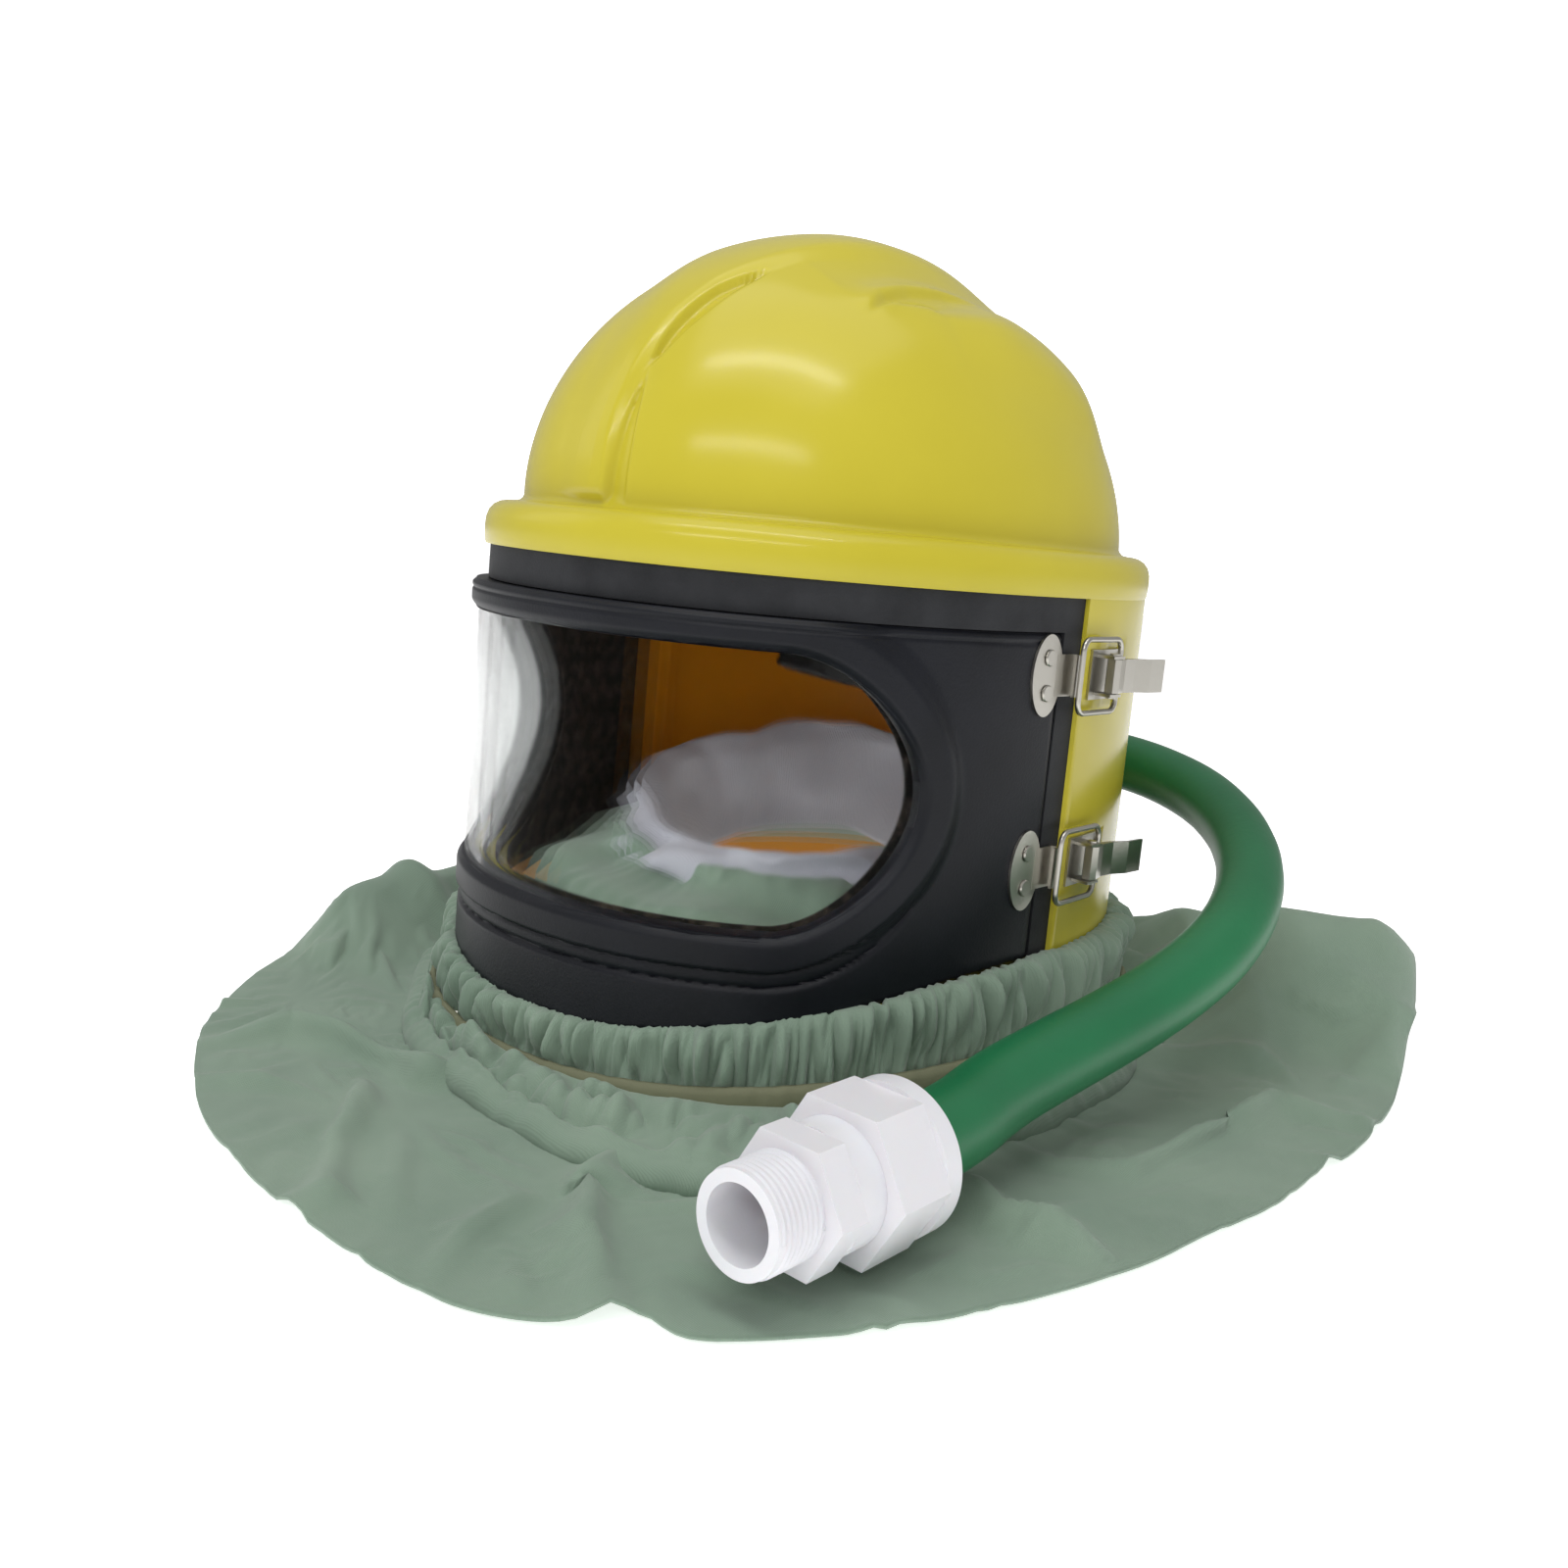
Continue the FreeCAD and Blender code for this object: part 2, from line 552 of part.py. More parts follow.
def make_knob():
    """The turning knob of the nape ratchet, built along Z and then set on the housing."""
    body = doc.addObject("PartDesign::Body", "knob_body")
    disc = new_sketch(body, "XY_Plane", "knob_disc")
    bound_circle(disc, 0, 0, "Sizes.knob_radius")
    pad(body, disc, "knob_disc_pad", "Sizes.knob_length")
    grip = new_sketch(body, "XY_Plane", "knob_grip")
    bound_circle(grip, size("knob_radius"), 0, "Sizes.knob_grip_radius")
    grip_pad = pad(body, grip, "knob_grip_pad", "Sizes.knob_length")
    pattern = body.newObject("PartDesign::PolarPattern", "knob_grips_round")
    pattern.Originals = [grip_pad]
    pattern.Axis = (next(i for i in body.Origin.OriginFeatures if i.Role == "Z_Axis"), [""])
    pattern.Angle = 360
    pattern.setExpression("Occurrences", "Sizes.knob_grips")
    body.Tip = pattern
    doc.recompute()
    spindle = new_sketch(body, "XY_Plane", "knob_spindle")
    spindle.AttachmentOffset = FreeCAD.Placement(V(0, 0, -8), FreeCAD.Rotation())
    spindle.addGeometry(Part.Circle(V(0, 0, 0), UP, 4), False)
    stub = body.newObject("PartDesign::Pad", "knob_spindle_pad")
    stub.Profile = spindle
    stub.Length = 9
    body.Tip = stub
    seat = FreeCAD.Placement(V(0, BAND_LENGTH + 17.3, 0), FreeCAD.Rotation(OUTWARD, -90))
    body.Placement = HARNESS.multiply(seat)
    return named(body, "ratchet_knob")


make_knob()

# ---------------------------------------------------------------- air inlet and duct

INLET_X = -size("inlet_side")
INLET_Z = size("inlet_height")
TUBE_OUT = size("tube_outer_radius")
TUBE_IN = size("tube_inner_radius")
ELBOW = size("elbow_radius")
WALL_BACK = REAR + RIM
ELBOW_START = 180
SCREW_RING = 24


def along_y(radius, start, end, x=None, z=None):
    x = INLET_X if x is None else x
    z = INLET_Z if z is None else z
    return Part.makeCylinder(radius, end - start, V(x, start, z), V(0, 1, 0))


def tube_along(path, outer, inner=0):
    """Sweep a round section, or a ring, along a wire."""
    start = path.OrderedEdges[0]
    origin = start.valueAt(start.FirstParameter)
    heading = start.tangentAt(start.FirstParameter)
    solids = []
    for radius in (outer, inner):
        if radius:
            section = Part.Wire(Part.makeCircle(radius, origin, heading))
            solids.append(path.makePipeShell([section], True, False))
    return solids[0].cut(solids[1]) if inner else solids[0]


def make_elbow():
    duct_end = V(INLET_X, 160, INLET_Z)
    bend_start = V(INLET_X, ELBOW_START, INLET_Z)
    bend_end = V(INLET_X + ELBOW, ELBOW_START + ELBOW, INLET_Z)
    half = ELBOW * (1 - math.sqrt(0.5))
    middle = V(INLET_X + half, ELBOW_START + ELBOW - half, INLET_Z)
    path = Part.Wire([Part.makeLine(duct_end, bend_start),
                      Part.Arc(bend_start, middle, bend_end).toShape()])
    return tube_along(path, TUBE_OUT, TUBE_IN)


flange_disc = along_y(size("inlet_flange_radius"), 120, 220)
flange = plan_ring(RIM + 1.6, RIM + 5, 80, 165).common(flange_disc).cut(along_y(TUBE_OUT + SLACK, 120, 220))
seal = plan_ring(RIM + 0.05, RIM + 1.55, 80, 165).common(flange_disc)
seal = seal.cut(along_y(TUBE_OUT + SLACK, 120, 220))
screws = []
for i in range(4):
    angle = math.radians(45 + 90 * i)
    x = INLET_X + SCREW_RING * math.cos(angle)
    z = INLET_Z + SCREW_RING * math.sin(angle)
    head = along_y(4, WALL_BACK + 4.6, WALL_BACK + 6.6, x, z)
    screws.append(head.fuse(along_y(2, WALL_BACK - 3, WALL_BACK + 5, x, z)))
feature("inlet_flange", flange.cut(screws))
feature("inlet_gasket", seal.cut(screws))
feature("inlet_elbow", make_elbow())
feature("inlet_screws", Part.makeCompound(screws))
drill("helmet_shell", [along_y(TUBE_OUT + SLACK, 120, 220)] + screws)

DUCT_HALF, DUCT_LOW, DUCT_HIGH = 30, 96, 218
duct = wall_box(-DUCT_HALF, DUCT_HALF, 0, BIG, DUCT_LOW, DUCT_HIGH, -11, RIM - WALL - 0.3)
bore = wall_box(2 - DUCT_HALF, DUCT_HALF - 2, 0, BIG, DUCT_LOW + 2, DUCT_HIGH + 5, -9, RIM - WALL - 2.3)
feature("air_duct", duct.cut(bore).cut(along_y(TUBE_OUT + SLACK, 159, 220)))
foam = wall_box(3 - DUCT_HALF, DUCT_HALF - 3, 0, BIG, DUCT_HIGH - 14, DUCT_HIGH + 4, -8.5, RIM - WALL - 2.8)
feature("silencer_foam", foam)

# ---------------------------------------------------------------- hose and its fitting

HOSE = size("hose_radius")
FITTING_X = size("fitting_side")
FITTING_Z = size("fitting_height")
THREAD_TIP = -size("fitting_front")
NIPPLE_BACK = THREAD_TIP + size("thread_length") + size("hex_length") + size("collar_length")
NUT_BACK = NIPPLE_BACK + size("nut_length")
BEND_SHARE = 0.45

# Route of the hose: out of the elbow, round the shell's rear corner, down to the cape.
HOSE_ROUTE = [
    V(INLET_X + ELBOW, ELBOW_START + ELBOW, INLET_Z), V(50, 204, 122), V(88, 195.5, 120),
    V(123.5, 179, 115), V(154, 154.5, 107), V(178.5, 123.5, 96.5), V(194.5, 87.5, 84),
    V(200.5, 49, 71), V(198, 10, 59), V(193, -28, 50), V(188.5, -66, 43.5), V(186.5, -103, 38.5),
    V(FITTING_X, -134, FITTING_Z), V(FITTING_X, NUT_BACK, FITTING_Z),
]


def hose_wire(points):
    """Straight runs joined by tangent arcs, each as large as its two runs allow."""
    edges = []
    last = points[0]
    for before, corner, after in zip(points, points[1:], points[2:]):
        run_in, run_out = corner - before, after - corner
        turn = run_in.getAngle(run_out)
        cut = BEND_SHARE * min(run_in.Length, run_out.Length)
        radius = cut / math.tan(turn / 2)
        print(f"hose bend radius {radius:.0f} mm, turn {math.degrees(turn):.1f} degrees")
        enter = corner - V(run_in).normalize() * cut
        leave = corner + V(run_out).normalize() * cut
        inward = (V(run_out).normalize() - V(run_in).normalize()).normalize()
        middle = corner + inward * (radius / math.cos(turn / 2) - radius)
        edges.append(Part.makeLine(last, enter))
        edges.append(Part.Arc(enter, middle, leave).toShape())
        last = leave
    edges.append(Part.makeLine(last, points[-1]))
    return Part.Wire(edges)


path = hose_wire(HOSE_ROUTE)
hose = tube_along(path, HOSE)
print(f"hose length {path.Length:.0f} mm")
feature("breathing_hose", hose)
clamp_start = HOSE_ROUTE[0] + V(7, 0, 0)
clamp_hole = Part.makeCylinder(HOSE + 0.05, 9, clamp_start, OUTWARD)
clamp = Part.makeCylinder(HOSE + 1.6, 9, clamp_start, OUTWARD).cut(clamp_hole)
worm = Part.makeBox(9, 14, 7, clamp_start + V(0, -7, HOSE + 0.9)).cut(clamp_hole)
feature("hose_clamp", clamp.fuse(worm))


def hex_corners(flats):
    radius = flats / math.sqrt(3)
    turns = [math.radians(60 * i) for i in range(6)]
    return [(radius * math.cos(turn), radius * math.sin(turn)) for turn in turns]


def raise_sketch(sketch, expression):
    sketch.setExpression(".AttachmentOffset.Base.z", expression)


def through_bore(body, name, expression):
    sketch = new_sketch(body, "XY_Plane", f"{name}_circle")
    bound_circle(sketch, 0, 0, expression)
    pocket = body.newObject("PartDesign::Pocket", name)
    pocket.Profile = sketch
    pocket.Type = "ThroughAll"
    pocket.Reversed = True
    doc.recompute()
    return pocket


def make_fitting_body():
    """The nipple: a collar, a spanner hexagon and the plain cylinder of its thread."""
    body = doc.addObject("PartDesign::Body", "fitting_solid")
    collar = new_sketch(body, "XY_Plane", "fitting_collar")
    bound_circle(collar, 0, 0, "Sizes.collar_radius")
    pad(body, collar, "fitting_collar_pad", "Sizes.collar_length")
    hexagon = new_sketch(body, "XY_Plane", "fitting_hexagon")
    ring_of_lines(hexagon, hex_corners(size("hex_flats")))
    raise_sketch(hexagon, "Sizes.collar_length")
    pad(body, hexagon, "fitting_hexagon_pad", "Sizes.hex_length")
    thread = new_sketch(body, "XY_Plane", "fitting_thread")
    bound_circle(thread, 0, 0, "Sizes.thread_radius")
    raise_sketch(thread, "Sizes.collar_length + Sizes.hex_length")
    pad(body, thread, "fitting_thread_pad", "Sizes.thread_length")
    doc.recompute()
    solid = body.Shape.Volume
    body.Tip = through_bore(body, "fitting_passage", "Sizes.fitting_bore")
    doc.recompute()
    assert body.Shape.Volume < solid * 0.9
    body.Placement = FreeCAD.Placement(V(FITTING_X, NIPPLE_BACK, FITTING_Z), FreeCAD.Rotation(OUTWARD, 90))
    return named(body, "fitting_body")


def make_fitting_nut():
    """The clamp nut that holds the hose's end: a hexagon with a round skirt."""
    body = doc.addObject("PartDesign::Body", "nut_solid")
    skirt = new_sketch(body, "XY_Plane", "nut_skirt")
    skirt.addGeometry(Part.Circle(V(0, 0, 0), UP, size("nut_flats") / 2 + 1.5), False)
    pad(body, skirt, "nut_skirt_pad", "Sizes.nut_length / 4")
    hexagon = new_sketch(body, "XY_Plane", "nut_hexagon")
    ring_of_lines(hexagon, hex_corners(size("nut_flats") - 1))
    raise_sketch(hexagon, "Sizes.nut_length / 4")
    pad(body, hexagon, "nut_hexagon_pad", "Sizes.nut_length * 3 / 4 - 0.05")
    doc.recompute()
    solid = body.Shape.Volume
    body.Tip = through_bore(body, "nut_passage", "Sizes.fitting_bore")
    doc.recompute()
    assert body.Shape.Volume < solid * 0.9
    body.Placement = FreeCAD.Placement(V(FITTING_X, NUT_BACK, FITTING_Z), FreeCAD.Rotation(OUTWARD, 90))
    return named(body, "fitting_nut")


make_fitting_body()
make_fitting_nut()

# ---------------------------------------------------------------- cloth

CLOTH = size("cloth_thickness")
TAPE_OUT = size("tape_outer_offset")


def dipped_ring(inner, outer, bottom, top, dip):
    ring = plan_ring(inner, outer, -20, top + 1)
    return ring.common(dip_solid(top, dip)).cut(dip_solid(bottom, dip))


feature("neck_ruffle", dipped_ring(size("ruffle_inner_offset"), size("ruffle_outer_offset"),
                                   size("ruffle_bottom"), size("ruffle_top"), DIP))
feature("neck_tape", dipped_ring(size("ruffle_outer_offset") + 0.3, TAPE_OUT,
                                 size("tape_bottom"), size("tape_top"), size("tape_dip")))

# The hem of the cape as it lies on the floor, walked round from the front.
CAPE_HEM = [(0, -292), (70, -298), (130, -290), (176, -262), (214, -214), (240, -150), (255, -70),
            (264, 10), (262, 95), (250, 170), (224, 238), (165, 282), (80, 298), (-20, 296),
            (-120, 280), (-200, 240), (-250, 170), (-264, 90), (-262, 0), (-244, -70),
            (-212, -130), (-160, -198), (-105, -252), (-52, -280)]


def hem_wire(height, inset):
    points = []
    for x, y in CAPE_HEM:
        reach = math.hypot(x, y)
        points.append(V(x * (1 - inset / reach), y * (1 - inset / reach), height))
    curve = Part.BSplineCurve()
    curve.interpolate(points, PeriodicFlag=True)
    return Part.Wire(curve.toShape())


def neck_wire(height, extra):
    """The same number of points as the hem, on the neck's outline, so that a loft runs straight."""
    points = []
    power = size("plan_power")
    for x, y in CAPE_HEM:
        length = (FRONT if y < 0 else REAR) + TAPE_OUT + extra
        width = HALF_WIDTH + TAPE_OUT + extra
        scale = (abs(x / width) ** power + abs(y / length) ** power) ** (-1 / power)
        points.append(V(x * scale, y * scale, height))
    curve = Part.BSplineCurve()
    curve.interpolate(points, PeriodicFlag=True)
    return Part.Wire(curve.toShape())


def make_cape():
    neck = size("cape_neck_height")
    upper_wires = [hem_wire(0, 0), hem_wire(CLOTH - 0.5, 0.5), hem_wire(CLOTH + 1, 45), neck_wire(neck, 0.3)]
    lower_wires = [hem_wire(-1, 8), hem_wire(0.3, 12), hem_wire(1.2, 45), neck_wire(neck - CLOTH, 4)]
    top = Part.makeLoft(upper_wires, True, True)
    under = Part.makeLoft(lower_wires, True, True)
    hole = Part.Face(neck_wire(-5, 0.3)).extrude(V(0, 0, 60))
    return top.cut(under).cut(hole)


feature("cape", make_cape())

NECK_WIDTH, NECK_LENGTH = 78, 92
bib_top_outer = ellipse_wire(NECK_WIDTH + 4, NECK_LENGTH + 4, 84)
bib_top_inner = ellipse_wire(NECK_WIDTH, NECK_LENGTH, 85)
bib_outer = Part.makeLoft([plan_wire(-6, 40), bib_top_outer], True, True)
bib_inner = Part.makeLoft([plan_wire(-10, 38), bib_top_inner], True, True)
feature("inner_bib", bib_outer.cut(bib_inner))
cuff_ring = Part.Face(ellipse_wire(NECK_WIDTH - 0.5, NECK_LENGTH - 0.5, 70)).extrude(V(0, 0, 44))
cuff_hole = Part.Face(ellipse_wire(NECK_WIDTH - 4, NECK_LENGTH - 4, 69)).extrude(V(0, 0, 46))
feature("inner_cuff", cuff_ring.cut(cuff_hole))

# ---------------------------------------------------------------- checks and files

doc.recompute()
for obj in doc.Objects:
    problems = [word for word in obj.State if word in ("Invalid", "Error")]
    if problems:
        raise RuntimeError(f"{obj.Label}: {problems}")

os.makedirs("parts", exist_ok=True)
for obj in nodes:
    if obj.Shape.isNull() or not obj.Shape.isValid():
        raise RuntimeError(f"{obj.Label} has no valid shape")
    box = obj.Shape.optimalBoundingBox(False)
    print(f"{obj.Label}: {len(obj.Shape.Solids)} solids, {obj.Shape.Volume / 1000:.1f} cm3, "
          f"x {box.XMin:.1f} {box.XMax:.1f} y {box.YMin:.1f} {box.YMax:.1f} z {box.ZMin:.1f} {box.ZMax:.1f}")
    obj.Shape.exportStep(os.path.join("parts", f"{obj.Label}.step"))
print(f"{len(nodes)} pieces")
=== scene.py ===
import math

import bmesh
import bpy
import numpy as np
from mathutils import Matrix, Vector, noise


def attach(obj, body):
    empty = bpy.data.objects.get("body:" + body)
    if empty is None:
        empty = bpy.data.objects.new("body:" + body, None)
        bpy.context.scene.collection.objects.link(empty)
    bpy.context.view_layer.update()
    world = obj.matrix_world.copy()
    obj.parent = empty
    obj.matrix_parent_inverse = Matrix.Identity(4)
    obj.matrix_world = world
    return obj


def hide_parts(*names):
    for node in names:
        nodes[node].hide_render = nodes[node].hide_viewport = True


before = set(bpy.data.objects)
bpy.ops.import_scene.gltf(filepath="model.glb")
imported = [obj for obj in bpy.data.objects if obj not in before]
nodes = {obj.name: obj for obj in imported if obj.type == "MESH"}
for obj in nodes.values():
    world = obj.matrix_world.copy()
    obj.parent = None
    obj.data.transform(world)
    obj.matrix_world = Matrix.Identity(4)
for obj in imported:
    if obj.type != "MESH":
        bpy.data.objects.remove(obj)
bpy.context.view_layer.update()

# ---------------------------------------------------------------- camera
# A camera half a metre in front of the helmet's left side, looking a little down and tilted.

camera_data = bpy.data.cameras.new("camera")
camera_data.lens = 32.69
camera_data.sensor_width = 36
camera_data.shift_x = -0.01875
camera_data.shift_y = -0.0319
camera_data.clip_start = 0.01
azimuth, pitch, roll = math.radians(40), math.radians(-8), math.radians(5.3)
ahead = Vector((-math.sin(azimuth) * math.cos(pitch), math.cos(azimuth) * math.cos(pitch), math.sin(pitch)))
level = Vector((math.cos(azimuth), math.sin(azimuth), 0))
upward = level.cross(ahead)
right = level * math.cos(roll) + upward * math.sin(roll)
top = upward * math.cos(roll) - level * math.sin(roll)
camera = bpy.data.objects.new("camera", camera_data)
facing = Matrix((right, top, -ahead)).transposed().to_4x4()
camera.matrix_world = Matrix.Translation((0.4467, -0.5324, 0.234)) @ facing
bpy.context.collection.objects.link(camera)
bpy.context.scene.camera = camera

# ---------------------------------------------------------------- breathing hose
# Smooth green PVC hose, 31 mm thick, pushed on the elbow behind the helmet and laid round its left side.
# One spline swept with a round section.


def linear(hex_colour):
    """RGBA in linear light from an sRGB hex string."""
    parts = [int(hex_colour[i : i + 2], 16) / 255 for i in (1, 3, 5)]
    return [c / 12.92 if c <= 0.04045 else ((c + 0.055) / 1.055) ** 2.4 for c in parts] + [1.0]


def add(tree, kind, inputs=(), **settings):
    """Adds a node; inputs are (socket, value or output socket) pairs."""
    made = tree.nodes.new(kind)
    for key, value in settings.items():
        setattr(made, key, value)
    for socket, value in inputs:
        if isinstance(value, bpy.types.NodeSocket):
            tree.links.new(value, made.inputs[socket])
        else:
            made.inputs[socket].default_value = value
    return made


def material(name, colour, roughness, **sockets):
    """A principled material; returns it with its tree and shader."""
    made = bpy.data.materials.new(name)
    made.use_nodes = True
    shader = made.node_tree.nodes["Principled BSDF"]
    shader.inputs["Base Color"].default_value = linear(colour)
    shader.inputs["Roughness"].default_value = roughness
    for socket, value in sockets.items():
        shader.inputs[socket.replace("_", " ")].default_value = value
    return made, made.node_tree, shader


def mottle(tree, scale, detail=4.0):
    """Noise over the object's own coordinates, as an output socket."""
    place = add(tree, "ShaderNodeTexCoord")
    grain = add(tree, "ShaderNodeTexNoise", [
        ("Vector", place.outputs["Object"]), ("Scale", scale), ("Detail", detail)])
    return grain.outputs["Fac"]


def tint(tree, shader, factor, dark, light, low=0.3, high=0.7):
    """Colours the shader between two colours by a factor."""
    ramp = add(tree, "ShaderNodeValToRGB", [("Fac", factor)])
    ramp.color_ramp.elements[0].position = low
    ramp.color_ramp.elements[0].color = linear(dark)
    ramp.color_ramp.elements[1].position = high
    ramp.color_ramp.elements[1].color = linear(light)
    tree.links.new(ramp.outputs["Color"], shader.inputs["Base Color"])


def emboss(tree, shader, height, strength, distance):
    """Bumps the shader's surface by a height socket."""
    bump = add(tree, "ShaderNodeBump", [("Height", height), ("Strength", strength), ("Distance", distance)])
    tree.links.new(bump.outputs[0], shader.inputs["Normal"])


def paint(obj, *made):
    """Gives an object its materials."""
    obj.data.materials.clear()
    for one in made:
        obj.data.materials.append(one)


def finish_nodes(made, *names):
    """Shows CAD nodes in a material."""
    for name in names:
        for place in nodes[name].material_slots:
            place.material = made


HOSE_LINE = [
    (12, 204, 122), (50, 204, 122), (88, 195.5, 120), (123.5, 179, 115), (154, 154.5, 107),
    (178.5, 123.5, 96.5), (194.5, 87.5, 84), (200.5, 49, 71), (198, 10, 59), (193, -28, 50),
    (188.5, -66, 43.5), (186.5, -103, 38.5), (190.5, -134, 34.5), (190.5, -165, 34.5),
]
hose_curve = bpy.data.curves.new("hose", "CURVE")
hose_curve.dimensions = "3D"
hose_curve.bevel_depth = 0.0155
hose_curve.bevel_resolution = 9
hose_curve.resolution_u = 10
hose_curve.use_fill_caps = True
run = hose_curve.splines.new("NURBS")
run.points.add(len(HOSE_LINE) - 1)
for point, place in zip(run.points, HOSE_LINE):
    point.co = (*(c / 1000 for c in place), 1)
run.order_u = 3
run.use_endpoint_u = True
hose = bpy.data.objects.new("hose", hose_curve)
bpy.context.collection.objects.link(hose)
hose_green, tree, shader = material("hose_green", "#1C7246", 0.42, Specular_IOR_Level=0.45)
tint(tree, shader, mottle(tree, 9, 5), "#145C38", "#1C7246")
emboss(tree, shader, mottle(tree, 260, 3), 0.12, 0.0006)
paint(hose, hose_green)
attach(hose, "helmet")
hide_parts("breathing_hose")

# ---------------------------------------------------------------- floor and lights
# A white floor and a white ring far behind it. A large soft box overhead, two narrow tubes and a left fill.

RING_POINTS, RING_RADIUS = 49, 6
bearings = np.radians(np.linspace(-180, 180, RING_POINTS))
ring = [(-RING_RADIUS * math.sin(b), RING_RADIUS * math.cos(b)) for b in bearings]
floor_data = bpy.data.meshes.new("floor")
floor_data.from_pydata([(-9, -9, 0), (9, -9, 0), (9, 9, 0), (-9, 9, 0)], [], [(0, 1, 2, 3)])
floor = bpy.data.objects.new("floor", floor_data)
wall_data = bpy.data.meshes.new("backdrop")
wall_data.from_pydata([(x, y, z) for z in (-0.2, 9) for x, y in ring], [],
                      [(i, i + 1, i + 1 + RING_POINTS, i + RING_POINTS) for i in range(RING_POINTS - 1)])
backdrop = bpy.data.objects.new("backdrop", wall_data)
WHITE = (1, 1, 1, 1)
floor_white, tree, shader = material("floor_white", "#FFFFFF", 0.9, Emission_Color=WHITE, Emission_Strength=0.62)
backdrop_white, tree, shader = material("backdrop_white", "#FFFFFF", 0.9, Emission_Color=WHITE,
                                        Emission_Strength=1.0)
for obj, made in ((floor, floor_white), (backdrop, backdrop_white)):
    bpy.context.collection.objects.link(obj)
    paint(obj, made)
for sight in ("visible_glossy", "visible_diffuse", "visible_shadow"):
    setattr(backdrop, sight, False)
bpy.context.scene.view_settings.view_transform = "Standard"
world = bpy.data.worlds.new("world")
bpy.context.scene.world = world
world.use_nodes = True
sky = world.node_tree.nodes["Background"]
sky.inputs["Color"].default_value = WHITE
sky.inputs["Strength"].default_value = 0.42


def soft_box(name, place, aim, width, height, watts):
    """A rectangular area light turned to a point."""
    data = bpy.data.lights.new(name, "AREA")
    data.shape = "RECTANGLE"
    data.size = width
    data.size_y = height
    data.energy = watts
    lamp = bpy.data.objects.new(name, data)
    lamp.location = place
    lamp.rotation_euler = (Vector(aim) - Vector(place)).to_track_quat("-Z", "Y").to_euler()
    bpy.context.collection.objects.link(lamp)


soft_box("overhead", (0.1, -0.3, 1.8), (0, 0, 0.1), 1.8, 1.6, 10)
soft_box("tubes_high", (0.3, -0.62, 1.72), (0, 0, 0.3), 1.5, 0.045, 7)
soft_box("tubes_low", (0.72, -1.5, 1.15), (0, 0, 0.3), 1.7, 0.045, 7)
soft_box("left_fill", (-1.7, -1.0, 1.2), (0, 0, 0.15), 0.9, 1.2, 2)

# ---------------------------------------------------------------- helmet shell
# Glossy yellow moulded shell, 4 mm thick, with a rounded rim over the window and a crested crown.
# The side walls are the designed solid below the rim; rim and crown are swept from the outline.


def build(name, points, faces, angle=40):
    """A smooth-shaded mesh from points in mm."""
    data = bpy.data.meshes.new(name)
    data.from_pydata([tuple(p) for p in np.asarray(points, float) * 0.001], [], faces)
    data.validate()
    data.shade_smooth()
    data.set_sharp_from_angle(angle=math.radians(angle))
    obj = bpy.data.objects.new(name, data)
    bpy.context.collection.objects.link(obj)
    return obj


def lattice(rows, columns, loop=True, start=0, flip=False):
    """Quads of a grid of rows by columns, closed round its columns when loop is set."""
    faces = []
    for row in range(rows - 1):
        for column in range(columns if loop else columns - 1):
            after = (column + 1) % columns
            a, b = start + row * columns + column, start + row * columns + after
            quad = (a, b, b + columns, a + columns)
            faces.append(quad[::-1] if flip else quad)
    return faces


def outline(angle, offset):
    """The helmet's plan in mm: angle 0 is the front and grows towards +X."""
    sine, cosine = np.sin(angle), np.cos(angle)
    depth = np.where(cosine > 0, 160.0, 166.0) + offset
    x = (130 + offset) * np.sign(sine) * np.abs(sine) ** (2 / 2.2)
    return x, -depth * np.sign(cosine) * np.abs(cosine) ** (2 / 2.2)


def ring_angles(columns):
    """Even angles round the helmet, and the matching points of a unit circle."""
    angles = np.linspace(-math.pi, math.pi, columns + 1)[:-1]
    return angles, np.stack([np.cos(angles), np.sin(angles)], 1)


def smooth(value, low=0.0, high=1.0):
    """Smoothstep between low and high."""
    part = np.clip((value - low) / (high - low), 0, 1)
    return part * part * (3 - 2 * part)


def beside(points, path):
    """Signed distance from a path on the crown, positive to its left, and the fraction along it."""
    best = np.full(len(points), 1e9)
    share = np.zeros(len(points))
    side = np.ones(len(points))
    path = np.array(path, float)
    steps = np.linalg.norm(np.diff(path, axis=0), axis=1)
    total = steps.sum()
    done = 0.0
    outward = points - np.array((0, 0, 200.0))
    outward /= np.linalg.norm(outward, axis=1)[:, None]
    for start, end, step in zip(path[:-1], path[1:], steps):
        line = (end - start) / step
        reach = np.clip((points - start) @ line, 0, step)
        gap = points - start - reach[:, None] * line
        gap -= np.einsum("ij,ij->i", gap, outward)[:, None] * outward
        distance = np.linalg.norm(gap, axis=1)
        turn = np.sign(np.einsum("ij,ij->i", np.cross(line, gap), outward))
        near = distance < best
        best = np.where(near, distance, best)
        side = np.where(near, turn, side)
        share = np.where(near, (done + reach) / total, share)
        done += step
    return best * side, share


